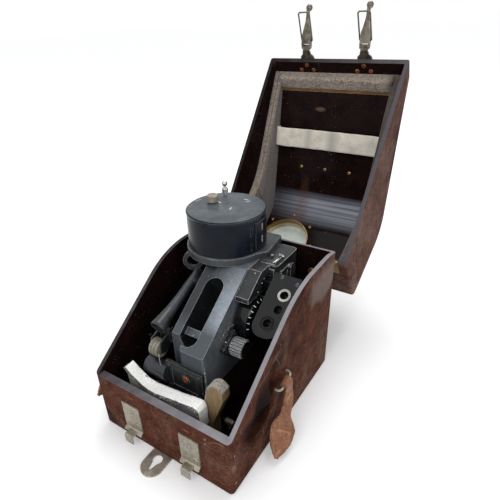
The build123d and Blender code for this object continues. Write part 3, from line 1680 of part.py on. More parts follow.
with BuildPart() as lens_roller:
    with BuildSketch(Plane.YZ.offset(roller_right - roller_width)):
        with Locations((roller_y, roller_z)):
            Circle(roller_radius)
            Circle(axle_radius + turning_clearance, mode=Mode.SUBTRACT)
    extrude(amount=roller_width)
    for share in (0.3, 0.7):
        with BuildSketch(Plane.YZ.offset(roller_right - share * roller_width - 0.8)):
            with Locations((roller_y, roller_z)):
                Circle(roller_radius + 1)
                Circle(roller_radius - 1, mode=Mode.SUBTRACT)
        extrude(amount=1.6, mode=Mode.SUBTRACT)
save(lens_roller, "lens_roller")

# Side tube with a flared mouth, on a saddle off the frame
tube_x = frame_left - side_tube_left
tube_front = Vector(tube_x, frame_front + side_tube_back, nose_top + side_tube_rise)
tube_along = Vector(0, side_tube_run, side_tube_climb)
tube_length = tube_along.length
saddle_at = tube_front + tube_along * 0.85
with BuildPart() as side_tube:
    with BuildSketch(Plane(origin=tube_front, x_dir=tube_along, z_dir=(1, 0, 0))):
        with BuildLine():
            Polyline(
                (0, 0),
                (0, side_tube_front_radius),
                (3, side_tube_front_radius),
                (0.3 * tube_length, side_tube_radius + 0.8),
                (0.5 * tube_length, side_tube_radius),
                (tube_length, side_tube_radius),
                (tube_length, 0),
                close=True,
            )
        make_face()
    revolve(axis=Axis(tube_front, tube_along))
    with BuildSketch(Plane(origin=tube_front, z_dir=tube_along)):
        Circle(side_tube_front_radius - 2)
    extrude(amount=4, mode=Mode.SUBTRACT)
    with BuildSketch(Plane.YZ.offset(tube_x)):
        with Locations((saddle_at.Y, saddle_at.Z)):
            Rectangle(12, side_tube_radius)
    extrude(amount=side_tube_left)
save(side_tube, "side_tube")

lamp_z = seat_height + lamp_rise
with BuildPart() as lamp_tube:
    with BuildSketch(Plane(origin=(frame_left, frame_front, lamp_z), z_dir=(-1, 0, 0))):
        Circle(lamp_radius)
    extrude(amount=lamp_length)
    chamfer(lamp_tube.faces().sort_by(Axis.X)[0].edges(), 1.5)
save(lamp_tube, "lamp_tube")

cover_bottom = seat_height - cover_overhang
cover_middle_z = cover_bottom + cover_height / 2
cover_screw_spots = [
    (frame_shift + dx * (frame_width / 2 - 5), cover_middle_z + dz * (cover_height / 2 - 5))
    for dx in (-1, 1)
    for dz in (-1, 1)
]
button_spot = (frame_shift + button_right, cover_bottom + button_rise)
with BuildPart() as front_cover:
    with BuildSketch(facing_front(frame_front)):
        with Locations((frame_shift, cover_middle_z)):
            Rectangle(frame_width, cover_height)
    extrude(amount=cover_thick - 1)
    with BuildSketch(facing_front(frame_front - cover_thick + 1)):
        with Locations((frame_shift, cover_middle_z)):
            Rectangle(frame_width, cover_height)
            Rectangle(frame_width - 16, cover_height - 14, mode=Mode.SUBTRACT)
    extrude(amount=1)
    with BuildSketch(facing_front(frame_front - cover_thick + 1)):
        with Locations(button_spot):
            Circle(button_radius)
    extrude(amount=button_height)
    with BuildSketch(facing_front(frame_front)):
        with Locations(*cover_screw_spots):
            Circle(screw_radius)
    extrude(amount=cover_thick, mode=Mode.SUBTRACT)
save(front_cover, "front_cover")

with BuildPart() as sextant_screws:
    cover_face = facing_front(cover_front)
    add(heads(cover_face, cover_screw_spots, screw_head_radius, screw_head_height))
    add(shanks(cover_face, cover_screw_spots, screw_radius, cover_thick))
    base_face = Plane.YZ.offset(knob_base_right)
    add(heads(base_face, knob_screw_spots, screw_head_radius, screw_head_height))
    add(shanks(base_face, knob_screw_spots, screw_radius, knob_base_thick))
    add(heads(housing_plane, housing_screw_spots, screw_head_radius, screw_head_height))
    add(shanks(housing_plane, housing_screw_spots, screw_radius, 3))
save(sextant_screws, "sextant_screws")
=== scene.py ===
# %% [markdown]
# # A sextant case, open, with its drum sextant stowed
#
# This lesson dresses a finished construction model. The structure, sizes and joints are already
# fixed: every wooden board, hinge leaf and casting arrives as its own mesh, in metres, in its final
# place. What is left to make is what the eye reads first: old laminate with cloudy bloom on it,
# nickel that has gone grey, felt that sheds fibres, a leather tab that has dried and cracked.
#
# The script loads the model, sets the camera and the light, builds a small kit of shader groups,
# gives each piece its finish, and then models the soft pieces and the small trim.

# %% Load the construction model
import json
import math

import bmesh
import bpy
import numpy as np
from mathutils import Matrix, Vector, noise


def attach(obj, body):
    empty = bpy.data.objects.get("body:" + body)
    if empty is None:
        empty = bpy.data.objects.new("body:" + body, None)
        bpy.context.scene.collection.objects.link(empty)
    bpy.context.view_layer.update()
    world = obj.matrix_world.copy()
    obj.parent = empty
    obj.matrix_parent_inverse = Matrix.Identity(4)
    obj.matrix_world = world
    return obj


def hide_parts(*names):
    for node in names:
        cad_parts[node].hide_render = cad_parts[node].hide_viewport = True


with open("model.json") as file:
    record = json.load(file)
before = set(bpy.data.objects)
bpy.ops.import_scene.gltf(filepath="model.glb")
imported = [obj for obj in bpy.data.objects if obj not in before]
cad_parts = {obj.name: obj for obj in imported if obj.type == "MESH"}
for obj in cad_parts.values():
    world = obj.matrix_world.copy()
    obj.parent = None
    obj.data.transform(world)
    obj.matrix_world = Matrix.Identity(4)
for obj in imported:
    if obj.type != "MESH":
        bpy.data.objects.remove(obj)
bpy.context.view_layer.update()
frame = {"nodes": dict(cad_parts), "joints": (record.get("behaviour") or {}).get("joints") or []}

nodes = frame["nodes"]
joints = {joint["name"]: joint for joint in frame["joints"]}
mm = 0.001

# %% [markdown]
# ## Camera
#
# The case is seen from above its front right corner with a fairly wide lens, so its uprights lean.
# A camera is a place, a direction and a focal length. The direction is written as three Euler
# angles in degrees. The lens is shifted a little, as on a view camera, because the object doesn't
# sit in the middle of the frame.

# %% Camera
camera_place = Vector((0.2553, -0.2171, 0.4399))
camera_turn = (58.491, 2.707, 34.130)
camera_lens = 31.36
camera_shift = (0.0529, 0.0514)

camera = bpy.data.objects.new("camera", bpy.data.cameras.new("camera"))
bpy.context.scene.collection.objects.link(camera)
camera.location = camera_place
camera.rotation_euler = [math.radians(angle) for angle in camera_turn]
camera.data.lens = camera_lens
camera.data.shift_x, camera.data.shift_y = camera_shift
bpy.context.scene.camera = camera
print("camera", tuple(round(v, 3) for v in camera_place))

# %% [markdown]
# ## Light, floor and view
#
# A white studio sweep gives flat, even light with soft shadows under the object. Here a plain
# world does most of the lighting, one broad lamp stands behind the case, one to its right,
# and a soft one in front reaches into the open lid.
# What the camera and polished metal see behind the object is plain white, which Light Path
# chooses, so the lamps never have to be turned up to bleach the background.

# %% Floor, world and lamps
scene = bpy.context.scene
scene.view_settings.view_transform = "Standard"


def link_object(name, mesh):
    """A new object for a mesh, linked into the scene."""
    piece = bpy.data.objects.new(name, mesh)
    scene.collection.objects.link(piece)
    return piece


world = bpy.data.worlds.new("studio")
scene.world = world
world.use_nodes = True
world.node_tree.nodes.clear()
world_out = world.node_tree.nodes.new("ShaderNodeOutputWorld")
world_light = world.node_tree.nodes.new("ShaderNodeBackground")
world_white = world.node_tree.nodes.new("ShaderNodeBackground")
world_pick = world.node_tree.nodes.new("ShaderNodeMixShader")
world_path = world.node_tree.nodes.new("ShaderNodeLightPath")
world_light.inputs["Color"].default_value = (0.985, 0.99, 1.0, 1)
world_light.inputs["Strength"].default_value = 0.62
world_white.inputs["Color"].default_value = (1.0, 1.0, 1.0, 1)
world_white.inputs["Strength"].default_value = 1.0
world_seen = world_path.outputs["Is Camera Ray"]
for ray in ("Is Glossy Ray", "Is Transmission Ray"):
    either = world.node_tree.nodes.new("ShaderNodeMath")
    either.operation = "MAXIMUM"
    world.node_tree.links.new(world_seen, either.inputs[0])
    world.node_tree.links.new(world_path.outputs[ray], either.inputs[1])
    world_seen = either.outputs[0]
world.node_tree.links.new(world_seen, world_pick.inputs[0])
world.node_tree.links.new(world_light.outputs[0], world_pick.inputs[1])
world.node_tree.links.new(world_white.outputs[0], world_pick.inputs[2])
world.node_tree.links.new(world_pick.outputs[0], world_out.inputs["Surface"])


def lamp(name, place, aim, size, power):
    """A square soft box at a place, turned to face a point."""
    light = bpy.data.lights.new(name, "AREA")
    light.size = size
    light.energy = power
    box = bpy.data.objects.new(name, light)
    scene.collection.objects.link(box)
    box.location = place
    box.rotation_euler = (Vector(aim) - Vector(place)).to_track_quat("-Z", "Y").to_euler()
    return box


lamp("top_box", (-0.15, 0.75, 1.55), (0.0, 0.15, 0.1), 1.0, 15.0)
lamp("side_box", (1.3, -0.35, 0.9), (0.0, 0.2, 0.15), 0.8, 5.0)
lamp("front_box", (0.15, -1.35, 1.35), (0.0, 0.3, 0.25), 1.2, 15.0)

floor_size = 24.0
floor_mesh = bpy.data.meshes.new("floor")
half_floor = floor_size / 2
floor_mesh.from_pydata(
    [(-half_floor, -half_floor, 0), (half_floor, -half_floor, 0),
     (half_floor, half_floor, 0), (-half_floor, half_floor, 0)],
    [], [(0, 1, 2, 3)],
)
floor = link_object("floor", floor_mesh)

# %% [markdown]
# ## A kit for shaders
#
# Every finish below is a small graph of nodes. Writing each link by hand is long, so one class
# holds a node tree and offers the few moves that the graphs need: add a node, mix two colours,
# remap a value, do a sum. Effects that several finishes share are node groups with named inputs:
# cloudy tone, worn edges, small specks, fine grain and scratches.

# %% Shader kit
def srgb(red, green, blue):
    """A colour written as 0 to 255 screen values, as the linear colour that shaders use."""
    return tuple(
        v / 255 / 12.92 if v <= 10 else ((v / 255 + 0.055) / 1.055) ** 2.4
        for v in (red, green, blue)
    ) + (1.0,)


class Graph:
    """A node tree with short calls for what the finishes need."""

    def __init__(self, tree):
        self.tree = tree

    def add(self, kind, inputs=None, **settings):
        node = self.tree.nodes.new(kind)
        for key, value in settings.items():
            setattr(node, key, value)
        for key, value in (inputs or {}).items():
            if isinstance(value, bpy.types.NodeSocket):
                self.tree.links.new(value, node.inputs[key])
            else:
                node.inputs[key].default_value = value
        return node

    def mix(self, factor, first, second, blend="MIX"):
        node = self.add("ShaderNodeMix", {0: factor, 6: first, 7: second},
                        data_type="RGBA", blend_type=blend)
        return node.outputs[2]

    def math(self, operation, first, second=0.0):
        return self.add("ShaderNodeMath", {0: first, 1: second}, operation=operation).outputs[0]

    def vector(self, operation, first, second=(0.0, 0.0, 0.0)):
        node = self.add("ShaderNodeVectorMath", {0: first, 1: second}, operation=operation)
        return node.outputs["Value" if operation == "DOT_PRODUCT" else "Vector"]

    def remap(self, value, low, high, to_low=0.0, to_high=1.0):
        return self.add("ShaderNodeMapRange", {
            "Value": value, "From Min": low, "From Max": high,
            "To Min": to_low, "To Max": to_high,
        }).outputs[0]

    def noise(self, vector, scale, detail=4.0, roughness=0.55, distortion=0.0):
        return self.add("ShaderNodeTexNoise", {
            "Vector": vector, "Scale": scale, "Detail": detail,
            "Roughness": roughness, "Distortion": distortion,
        }).outputs[0]

    def group(self, tree, **inputs):
        node = self.add("ShaderNodeGroup", node_tree=tree)
        for key, value in inputs.items():
            socket = node.inputs[key.replace("_", " ")]
            if isinstance(value, bpy.types.NodeSocket):
                self.tree.links.new(value, socket)
            else:
                socket.default_value = value
        return node.outputs

    def place(self):
        return self.add("ShaderNodeTexCoord").outputs["Object"]

    def flat_way(self):
        """The face's own normal in the piece's space, so that it turns with the piece."""
        normal = self.add("ShaderNodeNewGeometry").outputs["True Normal"]
        return self.add("ShaderNodeVectorTransform", {0: normal}, vector_type="NORMAL",
                        convert_from="WORLD", convert_to="OBJECT").outputs[0]

    def bump(self, height, distance, strength=1.0):
        return self.add("ShaderNodeBump", {
            "Height": height, "Distance": distance, "Strength": strength,
        }).outputs[0]


def shader_group(name, inputs, outputs):
    """A new shader group with its named sockets, and its graph, input and output nodes."""
    tree = bpy.data.node_groups.new(name, "ShaderNodeTree")
    for socket, kind, default in inputs:
        made = tree.interface.new_socket(socket, in_out="INPUT", socket_type=kind)
        if default is not None:
            made.default_value = default
    for socket, kind in outputs:
        tree.interface.new_socket(socket, in_out="OUTPUT", socket_type=kind)
    graph = Graph(tree)
    return tree, graph, tree.nodes.new("NodeGroupInput"), tree.nodes.new("NodeGroupOutput")


number, direction, tint = "NodeSocketFloat", "NodeSocketVector", "NodeSocketColor"

# %% Shared effects as node groups
# Cloudy tone: a broad drift with a finer mottle on it.
clouds, g, inp, out = shader_group(
    "cloudy tone", [("Vector", direction, None), ("Scale", number, 20.0), ("Mottle", number, 0.35)],
    [("Mask", number)])
broad = g.noise(inp.outputs["Vector"], inp.outputs["Scale"], 3.0, 0.5, 0.6)
fine_scale = g.math("MULTIPLY", inp.outputs["Scale"], 6.5)
fine = g.noise(inp.outputs["Vector"], fine_scale, 5.0, 0.7)
blend = g.add("ShaderNodeMix", {0: inp.outputs["Mottle"], 2: broad, 3: fine}, data_type="FLOAT").outputs[0]
g.tree.links.new(g.remap(blend, 0.34, 0.66), out.inputs["Mask"])

# Worn edges: where a rounded normal leaves the true one there is an edge, broken up by noise.
edges, g, inp, out = shader_group(
    "worn edges", [("Vector", direction, None), ("Radius", number, 0.001), ("Breakup", number, 180.0),
                   ("Amount", number, 0.5)],
    [("Mask", number)])
rounded = g.add("ShaderNodeBevel", {"Radius": inp.outputs["Radius"]}, samples=4).outputs[0]
true_normal = g.add("ShaderNodeNewGeometry").outputs["Normal"]
agree = g.vector("DOT_PRODUCT", rounded, true_normal)
rim = g.remap(agree, 0.995, 0.90)
chips = g.noise(inp.outputs["Vector"], inp.outputs["Breakup"], 6.0, 0.75)
rubbed = g.math("ADD", g.math("MULTIPLY", rim, 0.22), chips)
threshold = g.math("SUBTRACT", 0.78, g.math("MULTIPLY", inp.outputs["Amount"], 0.3))
mask = g.math("MULTIPLY", g.remap(rubbed, threshold, 0.86), g.math("GREATER_THAN", rim, 0.05))
g.tree.links.new(mask, out.inputs["Mask"])

# Specks: a few small chips or grains of dust.
specks, g, inp, out = shader_group(
    "specks", [("Vector", direction, None), ("Scale", number, 300.0), ("Amount", number, 0.3)],
    [("Mask", number)])
dots = g.noise(inp.outputs["Vector"], inp.outputs["Scale"], 2.0, 0.5)
areas = g.noise(inp.outputs["Vector"], g.math("MULTIPLY", inp.outputs["Scale"], 0.09), 2.0, 0.5)
both = g.math("ADD", dots, g.math("MULTIPLY", areas, 0.45))
level = g.math("SUBTRACT", 1.10, g.math("MULTIPLY", inp.outputs["Amount"], 0.3))
g.tree.links.new(g.math("MULTIPLY", g.math("GREATER_THAN", both, level), 1.0), out.inputs["Mask"])

# Scratches: thin bright lines where two stretched and bent noises cross a level.
scratches, g, inp, out = shader_group(
    "scratches", [("Vector", direction, None), ("Scale", number, 14.0), ("Width", number, 0.006)],
    [("Mask", number)])
bend = g.noise(inp.outputs["Vector"], inp.outputs["Scale"], 1.0, 0.3, 1.5)
line = g.math("ABSOLUTE", g.math("SUBTRACT", bend, 0.5))
gate = g.noise(inp.outputs["Vector"], g.math("MULTIPLY", inp.outputs["Scale"], 3.1), 2.0, 0.5)
near = g.math("LESS_THAN", line, inp.outputs["Width"])
g.tree.links.new(g.math("MULTIPLY", near, g.remap(gate, 0.5, 0.66)), out.inputs["Mask"])

# Fine grain: the height of orange peel, cast skin or matt paint.
grain, g, inp, out = shader_group(
    "fine grain", [("Vector", direction, None), ("Scale", number, 900.0), ("Coarse", number, 0.3)],
    [("Height", number)])
small = g.noise(inp.outputs["Vector"], inp.outputs["Scale"], 3.0, 0.6)
large = g.noise(inp.outputs["Vector"], g.math("MULTIPLY", inp.outputs["Scale"], 0.12), 2.0, 0.5)
height = g.add("ShaderNodeMix", {0: inp.outputs["Coarse"], 2: small, 3: large}, data_type="FLOAT").outputs[0]
g.tree.links.new(height, out.inputs["Height"])
print("shader groups:", [tree.name for tree in bpy.data.node_groups])

# %% [markdown]
# ## Finishes for hard pieces
#
# Most hard pieces need the same recipe with other values: a dark and a light tone drifting into
# each other, a roughness that drifts too, a worn colour along edges, a few specks and a fine
# bump. One function builds that recipe. The laminates, the cup and the frame casting need masks
# of their own, so they are built by hand after it.

# %% The common recipe
def new_material(name):
    """An empty node material, its graph and its Principled shader."""
    material = bpy.data.materials.new(name)
    material.use_nodes = True
    material.node_tree.nodes.clear()
    graph = Graph(material.node_tree)
    shader = graph.add("ShaderNodeBsdfPrincipled")
    surface = graph.add("ShaderNodeOutputMaterial")
    graph.tree.links.new(shader.outputs[0], surface.inputs["Surface"])
    return material, graph, shader


def set_inputs(graph, shader, values):
    """Set or link the named inputs of a shader."""
    for key, value in values.items():
        if isinstance(value, bpy.types.NodeSocket):
            graph.tree.links.new(value, shader.inputs[key])
        else:
            shader.inputs[key].default_value = value


def finish(name, dark, light, tone=25.0, mottle=0.35, rough=(0.35, 0.55), metallic=0.0,
           worn=None, worn_amount=0.5, worn_radius=0.9, worn_scale=220.0, chips=None,
           chip_amount=0.3, chip_scale=420.0, grain_scale=1100.0, grain_height=0.02,
           coarse=0.3, shader_values=None):
    """A drifting two-tone surface with worn edges, chips and a fine grain. Heights are in mm."""
    material, g, shader = new_material(name)
    place = g.place()
    cloud = g.group(clouds, Vector=place, Scale=tone, Mottle=mottle)[0]
    colour = g.mix(cloud, dark, light)
    if chips:
        mask = g.group(specks, Vector=place, Scale=chip_scale, Amount=chip_amount)[0]
        colour = g.mix(mask, colour, chips)
    if worn:
        mask = g.group(edges, Vector=place, Radius=worn_radius * mm, Breakup=worn_scale,
                       Amount=worn_amount)[0]
        colour = g.mix(mask, colour, worn)
    height = g.group(grain, Vector=place, Scale=grain_scale, Coarse=coarse)[0]
    set_inputs(g, shader, {
        "Base Color": colour,
        "Roughness": g.remap(cloud, 0.0, 1.0, rough[0], rough[1]),
        "Metallic": metallic,
        "Normal": g.bump(height, grain_height * mm),
        **(shader_values or {}),
    })
    return material


def dress(material, *names):
    """Give CAD pieces a material."""
    for name in names:
        piece = nodes[name]
        if not piece.material_slots:
            piece.data.materials.append(material)
        for slot in piece.material_slots:
            slot.material = material


# %% Metals
nickel = finish(
    "aged nickel", srgb(112, 105, 91), srgb(172, 165, 151), tone=70, mottle=0.5, rough=(0.32, 0.52),
    metallic=0.55, worn=srgb(226, 220, 208), worn_amount=0.55, chips=srgb(92, 80, 62),
    chip_amount=0.3, chip_scale=700, grain_scale=1500, grain_height=0.012)
dark_nickel = finish(
    "dull nickel", srgb(54, 49, 40), srgb(126, 118, 104), tone=90, mottle=0.45, rough=(0.22, 0.42),
    metallic=0.7, worn=srgb(200, 194, 184), worn_amount=0.6, grain_scale=1300, grain_height=0.01)
old_brass = finish(
    "old brass", srgb(96, 66, 30), srgb(190, 150, 88), tone=60, mottle=0.5, rough=(0.3, 0.5),
    metallic=0.85, worn=srgb(226, 196, 140), worn_amount=0.6, chips=srgb(46, 34, 20),
    chip_amount=0.3, grain_height=0.01)
copper = finish(
    "copper rivet", srgb(92, 46, 26), srgb(176, 104, 70), tone=160, mottle=0.4, rough=(0.35, 0.5),
    metallic=0.8, worn=srgb(214, 150, 116), worn_amount=0.6, grain_height=0.008)
steel = finish(
    "bright steel", srgb(120, 120, 118), srgb(214, 214, 210), tone=120, mottle=0.4,
    rough=(0.2, 0.36), metallic=0.95, worn=srgb(240, 240, 238), worn_amount=0.6, grain_height=0.006)

dress(nickel, "catch_plate_left", "catch_plate_right", "hang_lug", "catch_rivets", "floor_stud",
      "staple_left", "staple_right")
dress(dark_nickel, "latch_bracket_left", "latch_bracket_right",
      "latch_lever_left", "latch_lever_right", "latch_bail_left", "latch_bail_right", "latch_pins")
dress(old_brass, "hinge_leaf_base", "hinge_leaf_lid", "hinge_pin", "hinge_bolts", "hinge_rivets_lid",
      "hang_lug_screws", "web_tacks", "panel_screws", "dome_screws")
dress(copper, "latch_rivets")
dress(steel, "drum_plunger")

# %% Paints of the instrument
black_casting = finish(
    "worn black casting", srgb(7, 8, 10), srgb(26, 28, 31), tone=38, mottle=0.6, rough=(0.3, 0.55),
    worn=srgb(150, 152, 150), worn_amount=0.75, worn_radius=0.7, worn_scale=330,
    chips=srgb(150, 152, 150), chip_amount=0.42, chip_scale=520, grain_scale=900,
    grain_height=0.06, coarse=0.4)
chipped_casting = finish(
    "chipped rear casting", srgb(9, 10, 12), srgb(40, 43, 46), tone=60, mottle=0.7,
    rough=(0.3, 0.55), worn=srgb(200, 202, 200), worn_amount=1.5, worn_radius=1.0, worn_scale=170,
    chips=srgb(176, 178, 176), chip_amount=0.5, chip_scale=520, grain_scale=900,
    grain_height=0.08, coarse=0.4)
gloss_black = finish(
    "gloss black moulding", srgb(3, 4, 5), srgb(14, 15, 18), tone=30, rough=(0.10, 0.2),
    worn=srgb(96, 100, 104), worn_amount=0.3, worn_radius=0.5, grain_height=0.01,
    shader_values={"Specular IOR Level": 0.25, "Coat Weight": 0.25, "Coat Roughness": 0.05})
flange_paint = finish(
    "rubbed flange paint", srgb(20, 22, 25), srgb(58, 62, 66), tone=45, mottle=0.5,
    rough=(0.35, 0.55), worn=srgb(142, 144, 142), worn_amount=0.85, worn_radius=1.2,
    chips=srgb(150, 150, 146), chip_amount=0.2, grain_height=0.03)
ivory = finish(
    "worn ivory paint", srgb(84, 79, 69), srgb(150, 144, 132), tone=140, mottle=0.6,
    rough=(0.4, 0.6), worn=srgb(214, 210, 198), worn_amount=0.5, chips=srgb(60, 54, 44),
    chip_amount=0.4, chip_scale=600, grain_height=0.03)
dim_ivory = finish(
    "grimy ivory paint", srgb(62, 57, 48), srgb(150, 144, 128), tone=160, mottle=0.6,
    rough=(0.4, 0.6), worn=srgb(190, 186, 174), worn_amount=0.6, chips=srgb(40, 36, 30),
    chip_amount=0.4, chip_scale=600, grain_height=0.03)
# The knob's pale edge colour is a painted highlight along the ridges of its flutes.
knob_black_painted_highlights = finish(
    "fluted knob with painted ridge highlights", srgb(12, 13, 15), srgb(34, 36, 40), tone=60, rough=(0.25, 0.4),
    worn=srgb(226, 230, 232), worn_amount=1.7, worn_radius=0.8, worn_scale=60, grain_height=0.01)
tube_black = finish(
    "brushed black tube", srgb(16, 18, 22), srgb(46, 50, 56), tone=35, rough=(0.26, 0.4),
    worn=srgb(130, 134, 138), worn_amount=0.5, worn_radius=0.6, grain_height=0.015)

dress(black_casting, "lens_bracket", "front_cover", "knob_base")
dress(chipped_casting, "rear_casting")
dress(gloss_black, "eyepiece_housing", "index_dial")
dress(flange_paint, "drum_flange", "grip_ring")
dress(ivory, "drum_knob", "board_pins")
dress(dim_ivory, "lens_roller")
dress(knob_black_painted_highlights, "index_knob")
dress(tube_black, "side_tube", "lamp_tube", "sextant_screws")
print("materials so far:", len(bpy.data.materials))

# %% [markdown]
# ## Laminate of the base and lid
#
# The case is pressed fabric laminate, lacquered dark red-brown. Outside it is marbled and has a
# cloudy bloom, fine scratches and smudges, with a painted sheen and two patches of painted shadow
# on its right wall; inside it is painted nearly black as shade, and the lid's bend carries a
# streaked painted reflection. The sawn rims are a flat grey-violet, painted darker towards the
# left as shade. All of this is one piece of material on one mesh, so the shader has to know which
# side it is on. The walls enclose a middle point, so an outer face looks away from that point and
# an inner face looks towards it: one dot product tells them apart. A rim is the face that looks
# along the opening.

# %% Laminate
HINGE = Vector(joints["lid_hinge"]["pos_m"])
OPEN_TURN = Matrix.Rotation(math.radians(-148.0), 3, "X")


def lid_point(x, y, z):
    """A point of the shut lid in millimetres, carried to the open pose in metres."""
    return HINGE + OPEN_TURN @ (Vector((x, y, z)) * mm - HINGE)


def lid_way(x, y, z):
    """A direction of the shut lid, carried to the open pose."""
    return OPEN_TURN @ Vector((x, y, z))


facing, g, inp, out = shader_group(
    "outer face", [("Vector", direction, None), ("Middle", direction, None)], [("Mask", number)])
away = g.vector("SUBTRACT", inp.outputs["Vector"], inp.outputs["Middle"])
facing_dot = g.vector("DOT_PRODUCT", away, g.flat_way())
g.tree.links.new(g.math("GREATER_THAN", facing_dot, 0.0), out.inputs["Mask"])

looking, g, inp, out = shader_group(
    "face along a way", [("Way", direction, None), ("From", number, 0.5)], [("Mask", number)])
along = g.vector("DOT_PRODUCT", g.flat_way(), inp.outputs["Way"])
g.tree.links.new(g.math("GREATER_THAN", along, inp.outputs["From"]), out.inputs["Mask"])


def laminate(name, middle, opening, outer, bloom, inner, rim_tone, bloom_amount=0.4,
             marks=(), painted_bend_reflection=None):
    """Pressed laminate: marbled, bloomed and marked outside, some marks a painted sheen and painted shadow; painted
    dark inside as shade; a sawn rim painted darker to the left as shade; an optional streaked painted reflection.
    """
    material, g, shader = new_material(name)
    place = g.place()
    outside = g.group(facing, Vector=place, Middle=middle)[0]
    inside = g.math("SUBTRACT", 1.0, outside)
    rim = g.math("MULTIPLY", g.group(looking, Way=opening, From=0.6)[0], outside)
    cloud = g.group(clouds, Vector=place, Scale=13.0, Mottle=0.45)[0]
    marble = g.group(clouds, Vector=place, Scale=52.0, Mottle=0.6)[0]
    smudge = g.noise(place, 24.0, 5.0, 0.62, 0.8)
    outer_tone = g.mix(marble, outer[0], outer[1])
    haze = g.math("MULTIPLY", g.remap(cloud, 0.45, 1.0), bloom_amount)
    outer_tone = g.mix(haze, outer_tone, bloom)
    damp = g.noise(place, 9.0, 4.0, 0.6, 0.9)
    outer_tone = g.mix(g.math("MULTIPLY", g.remap(damp, 0.54, 0.66), 0.8), outer_tone, outer[2])
    rub = g.group(scratches, Vector=place, Scale=11.0, Width=0.004)[0]
    outer_tone = g.mix(g.math("MULTIPLY", rub, 0.4), outer_tone, srgb(150, 132, 120))
    dust = g.group(specks, Vector=place, Scale=420.0, Amount=0.28)[0]
    outer_tone = g.mix(g.math("MULTIPLY", dust, 0.5), outer_tone, srgb(176, 150, 130))
    # Inside, the laminate is painted nearly black, as painted shade of the hollow.
    inner_tone = g.mix(marble, inner[0], inner[1])
    # A streaked painted reflection on the lid's bend.
    if painted_bend_reflection:
        start, way, lengths = painted_bend_reflection
        run = g.vector("DOT_PRODUCT", g.vector("SUBTRACT", place, start), way)
        band = g.math("MULTIPLY", g.remap(run, 0.002, 0.016), g.remap(run, 0.056, 0.034))
        lines = g.noise(g.vector("MULTIPLY", place, lengths), 1.0, 5.0, 0.62, 0.25)
        across = g.add("ShaderNodeSeparateXYZ", {0: place}).outputs[0]
        # Darker towards the left as painted shade.
        band = g.math("MULTIPLY", band, g.remap(across, -0.075, -0.01, 0.25, 1.0))
        band = g.math("MULTIPLY", band, g.remap(lines, 0.36, 0.6, 0.4, 1.0))
        inner_tone = g.mix(band, inner_tone, srgb(160, 165, 177))
    crumbs = g.group(specks, Vector=place, Scale=520.0, Amount=0.36)[0]
    inner_tone = g.mix(g.math("MULTIPLY", crumbs, 0.6), inner_tone, srgb(150, 142, 134))
    colour = g.mix(outside, inner_tone, outer_tone)
    for centre, reach, mark, amount, side in marks:
        off = g.vector("DIVIDE", g.vector("SUBTRACT", place, centre), reach)
        away = g.math("ADD", g.vector("DOT_PRODUCT", off, off), g.math("MULTIPLY", smudge, 2.4))
        mask = g.math("MULTIPLY", g.remap(away, 2.2, 1.3), outside if side == "outer" else inside)
        colour = g.mix(g.math("MULTIPLY", mask, amount), colour, mark)
    edge = g.group(edges, Vector=place, Radius=1.3 * mm, Breakup=120.0, Amount=0.35)[0]
    colour = g.mix(g.math("MULTIPLY", edge, g.math("SUBTRACT", 1.0, rim)), colour, srgb(136, 100, 72))
    sawn = g.noise(place, 70.0, 4.0, 0.6)
    across = g.add("ShaderNodeSeparateXYZ", {0: place}).outputs[0]
    # The rim is painted darker towards the left as shade, with sawn noise on it.
    rim_shade_and_saw_marks = g.math("ADD", g.remap(across, -0.1, 0.1), g.remap(sawn, 0.3, 0.7, -0.15, 0.15))
    rim_colour = g.mix(rim_shade_and_saw_marks, rim_tone[0], rim_tone[1])
    colour = g.mix(rim, colour, rim_colour)
    height = g.group(grain, Vector=place, Scale=700.0, Coarse=0.55)[0]
    set_inputs(g, shader, {
        "Base Color": colour,
        "Roughness": g.remap(smudge, 0.36, 0.66, 0.22, 0.46),
        "Normal": g.bump(height, 0.03 * mm),
        "Specular IOR Level": 0.0,
        "Coat Weight": 0.06,
        "Coat Roughness": 0.08,
    })
    return material


base_laminate = laminate(
    "base laminate", (0.0, 0.125, 0.06), (0.0, -0.25, 0.97),
    (srgb(42, 18, 11), srgb(98, 60, 46), srgb(18, 7, 5)), srgb(124, 103, 92),
    (srgb(12, 6, 6), srgb(34, 20, 19)), (srgb(56, 52, 55), srgb(130, 128, 132)), 0.42,
    marks=(
        ((-0.0386, 0.0, 0.0715), (0.0045, 0.01, 0.0025), srgb(150, 92, 58), 0.55, "outer"),
        ((0.0399, 0.0, 0.0691), (0.0055, 0.01, 0.002), srgb(150, 92, 58), 0.55, "outer"),
        # A painted sheen high on the right wall, towards the back.
        ((0.095, 0.215, 0.152), (0.01, 0.05, 0.026), srgb(120, 110, 104), 0.6, "outer"),
        # Two patches of painted shadow on the right wall, near the leather tab.
        ((0.095, 0.047, 0.062), (0.01, 0.030, 0.030), srgb(14, 5, 4), 0.85, "outer"),
        ((0.095, 0.070, 0.085), (0.01, 0.030, 0.030), srgb(12, 4, 3), 0.85, "outer"),
        ((0.0, 0.246, 0.10), (0.09, 0.02, 0.045), srgb(60, 62, 68), 0.2, "inner")))
lid_laminate = laminate(
    "lid laminate", lid_point(0, 150, 160), lid_way(0.0, 0.25, -0.97),
    (srgb(54, 31, 24), srgb(106, 74, 63), srgb(32, 17, 13)), srgb(132, 114, 105),
    (srgb(14, 7, 7), srgb(36, 22, 22)), (srgb(34, 31, 31), srgb(80, 76, 80)), 0.42,
    marks=(
        (lid_point(-31, 128, 250), (0.012, 0.06, 0.06), srgb(110, 62, 34), 0.3, "inner"),
        (lid_point(-18, 28, 125), (0.010, 0.004, 0.004), srgb(126, 104, 88), 0.4, "inner")),
    # A painted reflection streaked across the lid's bend.
    painted_bend_reflection=(lid_point(0, 106, 222), lid_way(0.0, 0.626, 0.780), (4.0, 260.0, 260.0)))
dress(base_laminate, "base_shell", "front_board")
dress(lid_laminate, "lid_shell")
print("laminates made")
